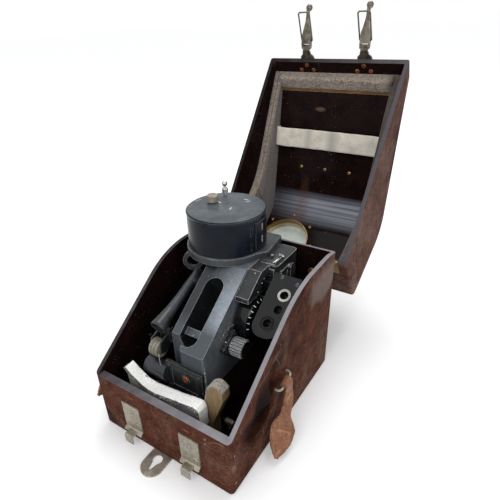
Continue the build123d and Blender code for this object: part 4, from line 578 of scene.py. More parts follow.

# %% [markdown]
# ## Frame casting, wood and cup
#
# The instrument's slotted frame was painted blue-grey wrinkle. Its faces that look up are paler,
# partly rubbed paint and partly painted top light, pale towards the right strut and dark on the
# left as painted shade, and its right face is painted lighter as lit. The drum is darker on its
# side than on its top, the top painted lighter as a sheen, with a painted highlight along its
# edges, and one of the two eyepiece rings is bare. The cup let into the lid is spun brass with a
# cream painted wall and a glassy greenish bottom; the same facing masks tell its inside from its
# outside.

# %% Frame casting
def frame_casting():
    """Blue-grey wrinkle paint, paler on what faces up, most of all on the right strut: partly rubbed, partly painted
    top light, with painted shade on the left and a lighter painted right face.
    """
    material, g, shader = new_material("rubbed frame paint with painted light")
    place = g.place()
    cloud = g.group(clouds, Vector=place, Scale=34.0, Mottle=0.6)[0]
    fleck = g.group(clouds, Vector=place, Scale=420.0, Mottle=0.3)[0]
    # Faces that look up take a paler colour, partly rubbed paint and partly painted top light; it is pale to the
    # right and front and dark on the left as painted shade.
    upward = g.group(looking, Way=(0.0, -0.62, 0.78), From=0.55)[0]
    across = g.add("ShaderNodeSeparateXYZ", {0: place}).outputs[0]
    # The right face is painted lighter than the rest of the frame, as lit.
    right_side = g.remap(across, 0.022, 0.026)
    body = g.mix(right_side, g.mix(cloud, srgb(5, 6, 7), srgb(20, 22, 24)),
                 g.mix(cloud, srgb(52, 56, 60), srgb(108, 113, 118)))
    rightward_share = g.remap(g.math("ADD", across, g.math("MULTIPLY", cloud, 0.012)), -0.006, 0.03)
    ahead = g.add("ShaderNodeSeparateXYZ", {0: place}).outputs[1]
    rightward_share = g.math("MULTIPLY", rightward_share, g.remap(ahead, 0.165, 0.115, 0.25, 1.0))
    rubbed = g.mix(rightward_share, srgb(18, 21, 25), srgb(138, 147, 156))
    rubbed = g.mix(g.remap(ahead, 0.088, 0.074), rubbed, srgb(58, 64, 69))
    rubbed = g.mix(g.math("MULTIPLY", fleck, 0.35), rubbed, srgb(36, 42, 49))
    colour = g.mix(upward, body, rubbed)
    chip = g.group(specks, Vector=place, Scale=520.0, Amount=0.42)[0]
    colour = g.mix(chip, colour, srgb(182, 186, 188))
    edge = g.group(edges, Vector=place, Radius=0.9 * mm, Breakup=300.0, Amount=1.0)[0]
    colour = g.mix(edge, colour, srgb(176, 182, 186))
    height = g.group(grain, Vector=place, Scale=900.0, Coarse=0.25)[0]
    set_inputs(g, shader, {
        "Base Color": colour, "Roughness": g.remap(cloud, 0.0, 1.0, 0.32, 0.5),
        "Normal": g.bump(height, 0.06 * mm)})
    return material


def two_tone(name, way, split_at, low, high, rough, worn, low_wear=1.0):
    """Colour that changes along a way: low tones below a split, in metres, and high ones above; on the drum the high
    tones are a painted sheen.
    """
    material, g, shader = new_material(name)
    place = g.place()
    cloud = g.group(clouds, Vector=place, Scale=40.0, Mottle=0.35)[0]
    above = g.remap(g.vector("DOT_PRODUCT", place, way), split_at - 0.0001, split_at + 0.0001)
    colour = g.mix(above, g.mix(cloud, low[0], low[1]), g.mix(cloud, high[0], high[1]))
    # A pale colour along the edges; on the drum it is a painted highlight.
    edge = g.group(edges, Vector=place, Radius=0.7 * mm, Breakup=80.0, Amount=1.3)[0]
    edge = g.math("MULTIPLY", edge, g.remap(above, 0.0, 1.0, low_wear, 1.0))
    colour = g.mix(edge, colour, worn)
    height = g.group(grain, Vector=place, Scale=1400.0, Coarse=0.3)[0]
    set_inputs(g, shader, {
        "Base Color": colour, "Roughness": g.remap(cloud, 0.0, 1.0, rough[0], rough[1]),
        "Normal": g.bump(height, 0.012 * mm), "Specular IOR Level": 0.14})
    return material


# On the drum the top is painted lighter than the side, as a painted sheen.
drum_paint_painted_sheen = two_tone(
    "blue-black satin paint with painted sheen", (0.0, 0.0, 1.0), 0.23785, (srgb(7, 10, 17), srgb(17, 22, 32)),
    (srgb(54, 59, 64), srgb(84, 90, 95)), (0.2, 0.32), srgb(112, 118, 124))
ring_paint = two_tone(
    "two eyepiece rings", (0.0, 1.0, 0.0), 0.128, (srgb(6, 7, 9), srgb(20, 22, 26)),
    (srgb(112, 112, 108), srgb(178, 178, 172)), (0.2, 0.34), srgb(206, 206, 200), 0.15)
dress(drum_paint_painted_sheen, "drum")
dress(ring_paint, "eyepiece_rings")
dress(frame_casting(), "sextant_frame")

# %% Wood with its grain along the board
def stained(name, dark, light, ring, along):
    """Plain softwood with a thin old stain; along stretches the grain down one axis."""
    material, g, shader = new_material(name)
    place = g.place()
    drawn = g.add("ShaderNodeMapping", {"Vector": place, "Scale": along}).outputs[0]
    fibre = g.noise(drawn, 1.0, 6.0, 0.7, 0.4)
    rings = g.add("ShaderNodeTexWave", {
        "Vector": drawn, "Scale": ring, "Distortion": 3.5, "Detail": 3.0}).outputs[1]
    colour = g.mix(g.remap(fibre, 0.3, 0.7), dark, light)
    colour = g.mix(g.math("MULTIPLY", rings, 0.35), colour, dark)
    dirt = g.group(clouds, Vector=place, Scale=45.0, Mottle=0.5)[0]
    colour = g.mix(g.math("MULTIPLY", dirt, 0.35), colour, srgb(40, 30, 22))
    edge = g.group(edges, Vector=place, Radius=1.1 * mm, Breakup=150.0, Amount=0.5)[0]
    colour = g.mix(edge, colour, srgb(186, 160, 118))
    set_inputs(g, shader, {
        "Base Color": colour, "Roughness": g.remap(fibre, 0.3, 0.7, 0.5, 0.75),
        "Normal": g.bump(fibre, 0.12 * mm)})
    return material


block_wood = stained("side block wood", srgb(112, 88, 58), srgb(176, 150, 112), 1.2, (400.0, 60.0, 60.0))
board_wood = stained("dark board wood", srgb(30, 22, 16), srgb(70, 52, 36), 1.0, (50.0, 50.0, 420.0))
ply_wood = stained("batten ply", srgb(92, 62, 32), srgb(168, 124, 70), 1.5, (90.0, 90.0, 500.0))
dress(block_wood, "side_block")
dress(board_wood, "seat_block", "hinge_packing")
dress(ply_wood, "front_batten")

# %% Cup in the lid
CUP_DEPTH_WAY = lid_way(0.0, 0.0, -1.0)


def cup_finish():
    """Brass with a cream painted wall and a glassy greenish bottom, seen from inside the lid."""
    material, g, shader = new_material("lined cup")
    place = g.place()
    floor_face = g.group(looking, Way=CUP_DEPTH_WAY, From=0.8)[0]
    level = g.vector("DOT_PRODUCT", g.vector("SUBTRACT", place, lid_point(-42, 189, 262)),
                     tuple(-CUP_DEPTH_WAY))
    deep = g.remap(level, 0.001, 0.004)
    inside = g.math("SUBTRACT", 1.0, g.group(facing, Vector=place, Middle=lid_point(-42, 189, 264))[0])
    cloud = g.group(clouds, Vector=place, Scale=30.0, Mottle=0.3)[0]
    brass = g.mix(cloud, srgb(88, 64, 34), srgb(168, 132, 78))
    cream = g.mix(cloud, srgb(176, 156, 122), srgb(226, 214, 186))
    glassy = g.mix(cloud, srgb(206, 220, 210), srgb(244, 250, 242))
    lining = g.mix(floor_face, cream, glassy)
    colour = g.mix(g.math("MULTIPLY", inside, deep), brass, lining)
    metal = g.math("SUBTRACT", 1.0, g.math("MULTIPLY", inside, deep))
    height = g.group(grain, Vector=place, Scale=500.0, Coarse=0.6)[0]
    set_inputs(g, shader, {
        "Base Color": colour, "Metallic": g.math("MULTIPLY", metal, 0.8),
        "Roughness": g.remap(cloud, 0.0, 1.0, 0.18, 0.34), "Normal": g.bump(height, 0.03 * mm)})
    return material


dress(cup_finish(), "lid_dome")
print("cup and castings finished")

# %% [markdown]
# ## Cloth, felt and leather finishes
#
# Fabric has almost no shine but a soft sheen at grazing angles, and its colour is carried by
# fibres. Felt gets a mottled colour with pale flecks; the webbing a fine basket weave and two
# grey patches where the instrument rubbed it; leather a cracked skin that is paler on its ridges.

# %% Fabric and leather materials
def felt_finish(name, dark, light, fleck, scale=420.0, rightward_share=0.0):
    """Pressed wool felt: mottled, flecked and rough."""
    material, g, shader = new_material(name)
    place = g.place()
    wool = g.noise(place, scale, 5.0, 0.62, 0.6)
    patch = g.group(clouds, Vector=place, Scale=36.0, Mottle=0.5)[0]
    colour = g.mix(g.remap(wool, 0.41, 0.6), dark, light)
    colour = g.mix(g.math("MULTIPLY", patch, 0.35), colour, fleck)
    across = g.add("ShaderNodeSeparateXYZ", {0: place}).outputs[0]
    # Pieces on the right-hand side are darkened by this share.
    colour = g.mix(g.math("MULTIPLY", g.remap(across, 0.074, 0.083), rightward_share), colour, dark)
    spots = g.group(specks, Vector=place, Scale=900.0, Amount=0.55)[0]
    colour = g.mix(spots, colour, fleck)
    set_inputs(g, shader, {
        "Base Color": colour, "Roughness": g.remap(wool, 0.3, 0.7, 0.85, 1.0),
        "Normal": g.bump(wool, 0.5 * mm), "Sheen Weight": 0.35, "Sheen Roughness": 0.6})
    return material


gasket_wool = felt_finish("gasket felt", srgb(58, 48, 42), srgb(150, 135, 124), srgb(176, 160, 140), rightward_share=0.85)
flap_wool = felt_finish("flap felt", srgb(66, 57, 52), srgb(132, 119, 110), srgb(146, 133, 120), rightward_share=0.85)
board_wool = felt_finish("dark lining felt", srgb(52, 45, 41), srgb(108, 97, 90), srgb(124, 113, 104), rightward_share=0.6)
charcoal_wool = felt_finish("charcoal felt", srgb(26, 25, 25), srgb(84, 80, 77), srgb(196, 192, 186))
block_wool = felt_finish("grey felt", srgb(72, 67, 60), srgb(136, 128, 116), srgb(166, 160, 146))
dress(board_wool, "rib_left", "rib_right")
dress(charcoal_wool, "cradle_board")


def webbing_finish():
    """Bleached cotton webbing: a basket weave, rubbed grey in two bands across its middle."""
    material, g, shader = new_material("cotton webbing")
    place = g.place()
    uv = g.add("ShaderNodeTexCoord").outputs["UV"]
    along = g.add("ShaderNodeTexWave", {"Vector": uv, "Scale": 22.0, "Distortion": 0.5},
                  bands_direction="X").outputs[1]
    across = g.add("ShaderNodeTexWave", {"Vector": uv, "Scale": 24.0, "Distortion": 0.5},
                   bands_direction="Y").outputs[1]
    weave = g.math("MAXIMUM", along, across)
    soil = g.noise(place, 75.0, 5.0, 0.6, 0.3)
    colour = g.mix(g.remap(soil, 0.35, 0.7), srgb(238, 232, 218), srgb(206, 199, 184))
    split = g.add("ShaderNodeSeparateXYZ", {0: place}).outputs[0]
    grey = None
    for middle, half in ((-0.028, 0.005), (0.010, 0.008)):
        off = g.math("ABSOLUTE", g.math("SUBTRACT", split, middle))
        band = g.remap(g.math("ADD", off, g.math("MULTIPLY", soil, 0.012)), half + 0.011, half - 0.001)
        grey = band if grey is None else g.math("MAXIMUM", grey, band)
    colour = g.mix(g.math("MULTIPLY", grey, 0.62), colour, srgb(150, 150, 143))
    colour = g.mix(g.math("MULTIPLY", g.math("SUBTRACT", 1.0, weave), 0.22), colour, srgb(120, 110, 94))
    set_inputs(g, shader, {
        "Base Color": colour, "Roughness": g.remap(soil, 0.3, 0.7, 0.8, 0.95),
        "Normal": g.bump(weave, 0.15 * mm), "Sheen Weight": 0.2})
    return material


def leather_finish():
    """Dry tan leather: a cracked skin, dark in its creases and rubbed pale on the ridges."""
    material, g, shader = new_material("cracked leather")
    place = g.place()
    skin = g.add("ShaderNodeTexVoronoi", {"Vector": place, "Scale": 260.0}, feature="DISTANCE_TO_EDGE").outputs[0]
    crack = g.remap(skin, 0.0, 0.09)
    folds = g.noise(place, 55.0, 6.0, 0.62, 1.6)
    tone = g.group(clouds, Vector=place, Scale=60.0, Mottle=0.45)[0]
    colour = g.mix(tone, srgb(98, 60, 36), srgb(150, 98, 66))
    colour = g.mix(g.math("MULTIPLY", g.math("SUBTRACT", 1.0, crack), 0.5), colour, srgb(60, 36, 22))
    colour = g.mix(g.remap(folds, 0.54, 0.74), colour, srgb(176, 128, 94))
    edge = g.group(edges, Vector=place, Radius=0.8 * mm, Breakup=260.0, Amount=0.5)[0]
    colour = g.mix(edge, colour, srgb(74, 44, 28))
    height = g.math("ADD", g.math("MULTIPLY", crack, 0.7), folds)
    set_inputs(g, shader, {
        "Base Color": colour, "Roughness": g.remap(folds, 0.3, 0.7, 0.5, 0.75),
        "Normal": g.bump(height, 0.5 * mm)})
    return material


def foam_finish():
    """White pad: clean on top, with a worn charcoal front that sheds white crumbs."""
    material, g, shader = new_material("padded strip")
    place = g.place()
    wool = g.noise(place, 520.0, 5.0, 0.7)
    white = g.mix(g.remap(wool, 0.3, 0.7), srgb(206, 206, 202), srgb(240, 240, 238))
    dark = g.mix(g.remap(wool, 0.35, 0.65), srgb(34, 33, 32), srgb(112, 108, 102))
    crumbs = g.group(specks, Vector=place, Scale=800.0, Amount=0.8)[0]
    dark = g.mix(crumbs, dark, srgb(206, 204, 198))
    front = g.add("ShaderNodeSeparateXYZ", {0: g.flat_way()}).outputs[1]
    ragged = g.math("ADD", g.math("MULTIPLY", front, -1.0), g.math("MULTIPLY", wool, 0.35))
    colour = g.mix(g.remap(ragged, 0.62, 0.80), white, dark)
    set_inputs(g, shader, {
        "Base Color": colour, "Roughness": g.remap(wool, 0.3, 0.7, 0.85, 1.0),
        "Normal": g.bump(wool, 0.3 * mm), "Sheen Weight": 0.2})
    return material


cotton, tan_leather, pad_cloth = webbing_finish(), leather_finish(), foam_finish()
print("fabric finishes:", [m.name for m in (gasket_wool, flap_wool, block_wool, cotton, tan_leather, pad_cloth)])

# %% [markdown]
# ## Tools for soft shapes
#
# Soft pieces are skins drawn through rings of points. A path gives the places, a frame of two
# directions at each place gives the ring, and a little noise takes the machine look off. Felt and
# pads also grow loose fibres, which Geometry Nodes scatters over a copy of the piece.

# %% Paths, rings and skins
def unit(way):
    """A direction of length one."""
    way = np.asarray(way, float)
    return way / np.linalg.norm(way)


def even(line, step):
    """A line of points resampled evenly, about a step apart."""
    line = np.asarray(line, float)
    along = np.concatenate([[0.0], np.cumsum(np.linalg.norm(np.diff(line, axis=0), axis=1))])
    places = np.linspace(0.0, along[-1], max(3, int(along[-1] / step) + 1))
    return np.stack([np.interp(places, along, line[:, k]) for k in range(line.shape[1])], axis=1)


def rounded(corners, radii, step):
    """A line through corners in a plane, each rounded by its radius, sampled by step."""
    corners = [np.array(corner, float) for corner in corners]
    line = [corners[0]]
    for before, corner, after, radius in zip(corners, corners[1:], corners[2:], radii):
        back, ahead = unit(before - corner), unit(after - corner)
        half = math.acos(float(np.clip(back @ ahead, -1, 1))) / 2
        if radius <= 0:
            line.append(corner)
            continue
        centre = corner + unit(back + ahead) * radius / math.sin(half)
        start = corner + back * radius / math.tan(half) - centre
        sweep = math.pi - 2 * half
        turn = math.copysign(sweep, back[1] * ahead[0] - back[0] * ahead[1])
        for angle in np.linspace(0.0, turn, max(3, int(radius * sweep / step) + 2)):
            c, s = math.cos(angle), math.sin(angle)
            line.append(centre + np.array([c * start[0] - s * start[1], s * start[0] + c * start[1]]))
    line.append(corners[-1])
    return even(line, step)


def tangents(line):
    """Unit directions along a line of points."""
    ways = np.gradient(np.asarray(line, float), axis=0)
    return ways / np.linalg.norm(ways, axis=1, keepdims=True)


def wobble(point, scale, amount, shift=0.0):
    """A smooth random push that depends on the place, in the point's own unit."""
    push = noise.noise_vector(Vector(point) * scale + Vector((shift, 0.7 * shift, 0.0)))
    return np.array(push) * amount


def skin(name, rings, material, smooth=True, uv_size=None):
    """A closed skin through rings of points, capped at both ends, with its faces outward."""
    rings = np.asarray(rings, float)
    count, around = rings.shape[:2]
    mesh = bpy.data.meshes.new(name)
    made = bmesh.new()
    verts = [made.verts.new(point) for point in rings.reshape(-1, 3)]
    uv = made.loops.layers.uv.new("UVMap") if uv_size else None
    for i in range(count - 1):
        for k in range(around):
            m = (k + 1) % around
            face = made.faces.new((verts[i * around + k], verts[i * around + m],
                                   verts[(i + 1) * around + m], verts[(i + 1) * around + k]))
            if uv:
                spots = ((i, k), (i, k + 1), (i + 1, k + 1), (i + 1, k))
                for loop, (row, column) in zip(face.loops, spots):
                    loop[uv].uv = (row / (count - 1) * uv_size[0], column / around * 2 * uv_size[1])
    made.faces.new(verts[:around][::-1])
    made.faces.new(verts[-around:])
    bmesh.ops.recalc_face_normals(made, faces=made.faces)
    made.to_mesh(mesh)
    made.free()
    mesh.materials.append(material)
    if smooth:
        mesh.shade_smooth()
    return link_object(name, mesh)


def strip_ring(centre, side, up, half_width, half_thick, count=9):
    """A ring round a flat strip: across its face, round its edge and back."""
    across = np.linspace(-1.0, 1.0, count)
    face = [centre + side * half_width * s + up * half_thick for s in across]
    back = [centre + side * half_width * s - up * half_thick for s in across[::-1]]
    round_off = 0.6 * half_thick
    return face + [centre + side * (half_width + round_off)] + back + [centre - side * (half_width + round_off)]


def shut_lid(points):
    """Points of the shut lid in millimetres, carried to the open pose in metres."""
    return [lid_point(*point) for point in points]


# %% Fibres and other scattered detail by Geometry Nodes
def node_geometry(name, inputs):
    """A Geometry Nodes tree with a Geometry input and output and the named extra inputs."""
    tree = bpy.data.node_groups.new(name, "GeometryNodeTree")
    tree.interface.new_socket("Geometry", in_out="INPUT", socket_type="NodeSocketGeometry")
    for socket, kind in inputs:
        tree.interface.new_socket(socket, in_out="INPUT", socket_type=kind)
    tree.interface.new_socket("Geometry", in_out="OUTPUT", socket_type="NodeSocketGeometry")
    return tree, Graph(tree), tree.nodes.new("NodeGroupInput"), tree.nodes.new("NodeGroupOutput")


fibre_tree, g, inp, out = node_geometry("loose fibres", [
    ("Density", number), ("Length", number), ("Thickness", number), ("Seed", "NodeSocketInt"),
    ("Material", "NodeSocketMaterial")])
spots = g.add("GeometryNodeDistributePointsOnFaces", {
    "Mesh": inp.outputs["Geometry"], "Density": inp.outputs["Density"], "Seed": inp.outputs["Seed"]})
hair = g.add("GeometryNodeCurveQuadraticBezier", {
    "Resolution": 4, "Start": (0.0, 0.0, -0.1), "Middle": (0.35, 0.1, 0.5), "End": (0.1, 0.45, 1.0)})
hair_scale = g.add("ShaderNodeCombineXYZ", {0: inp.outputs["Length"], 1: inp.outputs["Length"], 2: inp.outputs["Length"]})
hair_sized = g.add("GeometryNodeTransform", {"Geometry": hair.outputs[0], "Scale": hair_scale.outputs[0]})
hair_round = g.add("GeometryNodeCurvePrimitiveCircle", {"Resolution": 3, "Radius": inp.outputs["Thickness"]})
hair_mesh = g.add("GeometryNodeCurveToMesh", {"Curve": hair_sized.outputs[0],
                                             "Profile Curve": hair_round.outputs[0], "Fill Caps": True})
lean = g.add("FunctionNodeRandomValue", {"Min": (-0.9, -0.9, -3.1), "Max": (0.9, 0.9, 3.1),
                                         "Seed": inp.outputs["Seed"]}, data_type="FLOAT_VECTOR")
turn = g.add("FunctionNodeRotateRotation", {"Rotation": spots.outputs["Rotation"],
                                            "Rotate By": lean.outputs["Value"]}, rotation_space="LOCAL")
size = g.add("FunctionNodeRandomValue", {2: 0.4, 3: 1.3, "Seed": inp.outputs["Seed"]}, data_type="FLOAT")
hairs = g.add("GeometryNodeInstanceOnPoints", {
    "Points": spots.outputs["Points"], "Instance": hair_mesh.outputs[0],
    "Rotation": turn.outputs[0], "Scale": size.outputs[1]})
real = g.add("GeometryNodeRealizeInstances", {"Geometry": hairs.outputs[0]})
painted = g.add("GeometryNodeSetMaterial", {"Geometry": real.outputs[0], "Material": inp.outputs["Material"]})
g.tree.links.new(painted.outputs[0], out.inputs["Geometry"])


def grow(name, source_mesh, tree, values, body):
    """Runs a Geometry Nodes tree on a copy of a mesh and keeps what it grows as a plain mesh."""
    carrier = link_object(name + " carrier", source_mesh.copy())
    modifier = carrier.modifiers.new("grow", "NODES")
    modifier.node_group = tree
    for item in tree.interface.items_tree:
        if item.in_out == "INPUT" and item.name in values:
            modifier[item.identifier] = values[item.name]
    evaluated = carrier.evaluated_get(bpy.context.evaluated_depsgraph_get())
    mesh = bpy.data.meshes.new_from_object(evaluated)
    mesh.name = name
    bpy.data.objects.remove(carrier)
    grown = link_object(name, mesh)
    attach(grown, body)
    print(name, "faces", len(mesh.polygons))
    return grown


def world_mesh(piece):
    """A copy of a piece's mesh in its world place."""
    mesh = piece.data.copy()
    mesh.transform(piece.matrix_world)
    return mesh


# %% [markdown]
# ## Felt in the lid
#
# Each liner board carries a strip of felt that rolls over the board's edge in two soft ridges,
# and a thinner flap that widens towards the back. The batten across the front has a wide strip
# that turns up its inner face; a line of bare ply shows above it.

# %% Felt strips, flaps and the batten's strip
rim_path = rounded([(-1.2, 82.0), (0.0, 82.0), (142.8, 182.0), (225.0, 182.0), (246.6, 178.0)],
                   [0, 125, 40], 3.0)
rim_ways = tangents(rim_path)
inner_side, outer_side = 84.5, 96.3


def felt_strip(name, side):
    """The ridged strip under one liner board."""
    rings = []
    for (y, z), (ty, tz) in zip(rim_path, rim_ways):
        ring = []
        for share in np.linspace(0.0, 1.0, 17):
            groove = 0.95 * math.exp(-((share - 0.46) / 0.08) ** 2)
            ends = 0.6 * (math.exp(-(share / 0.07) ** 2) + math.exp(-((1 - share) / 0.07) ** 2))
            x = side * (inner_side + (outer_side - inner_side) * share)
            lift = 1.42 + min(0.95, groove + ends) + 0.1 * noise.noise(Vector((x * 0.5, y * 0.13, z * 0.13)))
            ring.append((x, y - tz * lift, z + ty * lift))
        for share in (1.0, 0.5, 0.0):
            x = side * (inner_side + (outer_side - inner_side) * share)
            ring.append((x, y - tz * 2.48, z + ty * 2.48))
        rings.append(shut_lid(ring))
    piece = skin(name, rings, gasket_wool)
    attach(piece, "lid")
    return piece


def felt_flap(name, side):
    """The tapering flap on one board's inner face."""
    rings = []
    for y in np.linspace(13.0, 151.2, 48):
        foot = np.interp(y, rim_path[:, 0], rim_path[:, 1]) + 0.8
        head = 93.0 + (y - 12.7) * 0.8 - 0.3
        ring = []
        for share in np.linspace(0.0, 1.0, 11):
            z = foot + (head - foot) * share
            wave = noise.noise(Vector((side * 3.0, y * 0.045, z * 0.06)))
            curl = 0.5 * math.exp(-((1 - share) / 0.12) ** 2)
            ring.append((side * (82.95 - 0.3 * wave + curl), y, z))
        ring.extend([(side * 84.35, y, head - 0.2), (side * 84.35, y, foot + 0.2)])
        rings.append(shut_lid(ring))
    piece = skin(name, rings, flap_wool)
    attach(piece, "lid")
    return piece


def batten_strip():
    """The wide strip under the batten, rolled over its edge and up its inner face."""
    rings = []
    for x in np.linspace(-84.2, 84.2, 113):
        inner_reach = 14.6 if abs(x) < 82.2 else 12.9
        ragged = 1.0 * noise.noise(Vector((x * 0.16, 3.0, 0.0))) + 0.5 * noise.noise(Vector((x * 0.7, 1.0, 0.0)))
        head = 100.6 + ragged
        section = rounded([(-1.0, 83.65), (14.0, 83.65), (14.0, head), (13.5, head + 0.5), (12.85, head)],
                          [1.6, 0.3, 0.3], 1.35)[:-1]
        ring = []
        for y, z in section:
            swell = 0.3 * noise.noise(Vector((x * 0.09, y * 0.25, z * 0.25)))
            swell += 0.14 * noise.noise(Vector((x * 0.6, y * 0.8, z * 0.8)))
            ring.append((x, min(inner_reach, y + swell * (z > 84.0)), z + 0.5 * swell * (z <= 84.0)))
        ring.extend([(x, 12.8, head), (x, 12.8, 84.4), (x, 5.0, 84.4), (x, -1.0, 84.4)])
        rings.append(shut_lid(ring))
    count = min(len(ring) for ring in rings)
    rings = [ring[:count - 4] + ring[-4:] for ring in rings]
    piece = skin("batten_felt", rings, gasket_wool)
    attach(piece, "lid")
    return piece


felt_pieces = [felt_strip("felt_strip_left", -1), felt_strip("felt_strip_right", 1),
               felt_flap("felt_flap_left", -1), felt_flap("felt_flap_right", 1), batten_strip()]
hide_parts("gasket_felt")
for piece, wool in zip(felt_pieces, (gasket_wool, gasket_wool, flap_wool, flap_wool, gasket_wool)):
    fuzz = grow(piece.name + "_fuzz", piece.data, fibre_tree, {
        "Density": 300000.0, "Length": 0.0009, "Thickness": 0.00006, "Seed": 3, "Material": wool}, "lid")

# %% [markdown]
# ## Webbing strap
#
# The strap hangs across the lid between the liner boards, where its ends turn up and are tacked.
# It's cotton webbing that has gone wavy along its edges.

# %% Webbing strap
slope_angle = math.radians(51.25)
slope_up = np.array([0.0, math.cos(slope_angle), math.sin(slope_angle)])
slope_in = np.array([0.0, math.sin(slope_angle), -math.cos(slope_angle)])
strap_middle = np.array([0.0, -6.5, 90.4]) + slope_up * 92.0 + slope_in * (5.2 + 12.0)
strap_line = rounded([(-83.3, -11.6), (-83.3, 0.6), (83.3, 0.6), (83.3, -11.6)], [3.0, 3.0], 1.6)
rings = []
strap_ways = tangents(strap_line)
for (x, fall), (tx, tf) in zip(strap_line, strap_ways):
    sag = -2.6 * (1 - (x / 84.0) ** 2) if abs(x) < 83 else 0.0
    flat = max(0.0, 1.0 - (abs(x) / 82.0) ** 6)
    ripple = flat * (0.8 * noise.noise(Vector((x * 0.05, 2.0, 0.0))) + 0.35 * math.sin(x * 0.21))
    shift = 0.7 * noise.noise(Vector((x * 0.055, 7.0, 0.0)))
    side = slope_up
    up = unit(np.array([tf, 0, 0]) * -1 + slope_in * tx)
    middle = strap_middle + np.array([x, 0, 0]) + slope_in * (fall + sag + ripple) + side * shift
    ring = strip_ring(middle, side, up, 13.7 + 0.35 * noise.noise(Vector((x * 0.12, 9.0, 0.0))), 0.8, 13)
    waved = []
    for point in ring:
        edge = abs((point - middle) @ side) / 13.7
        lift = flat * 0.7 * edge ** 3 * noise.noise(Vector((x * 0.11, float((point - middle) @ side) * 0.1, 4.0)))
        waved.append(point + up * lift)
    rings.append(shut_lid(waved))
strap = skin("webbing_strap", rings, cotton, uv_size=(12.0, 1.6))
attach(strap, "lid")
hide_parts("web_strap")

# %% [markdown]
# ## Leather tabs of the carrying strap
#
# The strap itself is gone; on each side a tab is left, looped over the staple's bar. The right one
# hangs down the case and its leaf curls; the left one has swung forward.

# %% Leather tabs
def leaf_half(share):
    """Half width of a leaf, in millimetres, from its neck at 0 to its pointed tip at 1."""
    if share < 0.10:
        return 6.6 + 3.0 * share
    if share < 0.42:
        rise = (share - 0.10) / 0.32
        return 6.9 + 10.1 * (3 * rise ** 2 - 2 * rise ** 3)
    fall = (share - 0.42) / 0.58
    return max(1.6, 17.0 * (1 - fall ** 2.3))


def leather_tab(name, bar, bar_way, out_way, neck_line, leaf_way, leaf_normal, leaf_length, curl):
    """A tab: its loop round the bar, a neck through a line of points, and a curled leaf."""
    bar, bar_way, out_way = np.array(bar, float), unit(bar_way), unit(out_way)
    down = unit(np.cross(bar_way, out_way))
    if down[2] > 0:
        down = -down
    path, sides, ups, halves = [], [], [], []
    for turn in np.linspace(-0.30, 1.0, 17):
        angle = math.pi * turn
        way = -out_way * math.cos(angle) - down * math.sin(angle)
        path.append(bar + way * 3.5 + (down * 5.5 if turn < -0.2 else 0))
        sides.append(bar_way)
        ups.append(way)
        halves.append(6.4)
    neck_line = [np.array(point, float) for point in neck_line]
    run = even(neck_line, 2.5)
    leaf_way, leaf_normal = unit(leaf_way), unit(leaf_normal)
    leaf_side = unit(np.cross(leaf_way, leaf_normal))
    if leaf_side @ bar_way < 0:
        leaf_side = -leaf_side
    for i, point in enumerate(run):
        share = (i + 1) / len(run)
        ease = 3 * share ** 2 - 2 * share ** 3
        path.append(point)
        sides.append(unit((1 - ease) * bar_way + ease * leaf_side))
        ups.append(unit((1 - ease) * out_way + ease * leaf_normal))
        halves.append(6.4)
    for share in np.linspace(0.03, 1.0, 30):
        path.append(run[-1] + leaf_way * leaf_length * share
                    + leaf_normal * curl * (share ** 2.5))
        sides.append(leaf_side)
        ups.append(leaf_normal)
        halves.append(leaf_half(share))
    rings = []
    for i, (point, side, up, half) in enumerate(zip(path, sides, ups, halves)):
        along = unit(path[min(i + 1, len(path) - 1)] - path[max(i - 1, 0)])
        up = unit(up - along * (up @ along))
        ring = strip_ring(point, side, up, half, 1.25, 11)
        bent = []
        for corner in ring:
            reach = float((corner - point) @ side)
            cup = 0.006 * reach ** 2 * (half > 7.2)
            bent.append((corner + up * cup + wobble(corner, 0.12, 0.55) + wobble(corner, 0.5, 0.12)) * mm)
        rings.append(bent)
    return skin(name, rings, tan_leather)


staple_way = (0.0, 0.961, 0.277)
right_tab = leather_tab(
    "leather_tab_right", (102, 103, 83.25), staple_way, (1, 0, 0),
    [(105.5, 103, 79.0), (105.5, 103, 66.0), (105.3, 103, 54.0), (104.4, 103, 44.0)],
    (0.14, -0.73, -0.60), (0.84, -0.27, 0.52), 57.0, 2.0)
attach(right_tab, "strap_tab_right")
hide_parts("strap_tab_right")
left_tab = leather_tab(
    "leather_tab_left", (-102, 103, 83.25), staple_way, (-1, 0, 0),
    [(-105.5, 101, 80.0), (-105.5, 90, 75.0), (-105.4, 73, 64.5), (-105.3, 57, 54.6)],
    (0, -0.949, -0.316), (-1, 0, 0), 57.0, 1.0)
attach(left_tab, "strap_tab_left")
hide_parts("strap_tab_left")

# %% [markdown]
# ## Padded strip on the cradle
#
# The cradle board under the instrument's nose carries a cloth-covered pad. Its skin starts as a
# plain strip and is blown up by a short cloth simulation, pinned where it is glued to the board.

# %% Padded strip
cradle_line = rounded([(-64.6, 91.0), (-44.0, 73.2), (-29.0, 70.4), (42.5, 83.0), (42.5, 47.0)],
                      [14, 30, 9], 1.8)
cradle_ways = tangents(cradle_line)
pad_rings = []
half_deep, pad_thick = 8.3, 7.6
for (x, z), (tx, tz) in zip(cradle_line, cradle_ways):
    under = (tz, -tx)
    ring = []
    section = rounded([(-half_deep + 1, 0.6), (-half_deep + 0.4, 0.6), (-half_deep + 0.4, 6.6),
                       (half_deep - 0.4, 6.6), (half_deep - 0.4, 0.6), (-half_deep + 1, 0.6)],
                      [1.2, 1.2, 1.2, 1.2], 1.5)[:-1]
    for across, depth in section:
        ring.append((x + under[0] * depth, 28.5 + across, z + under[1] * depth))
    pad_rings.append(ring)
section_count = min(len(ring) for ring in pad_rings)
pad_rings = np.array([ring[:section_count] for ring in pad_rings]) * mm
pad = skin("padded_strip", pad_rings, pad_cloth)

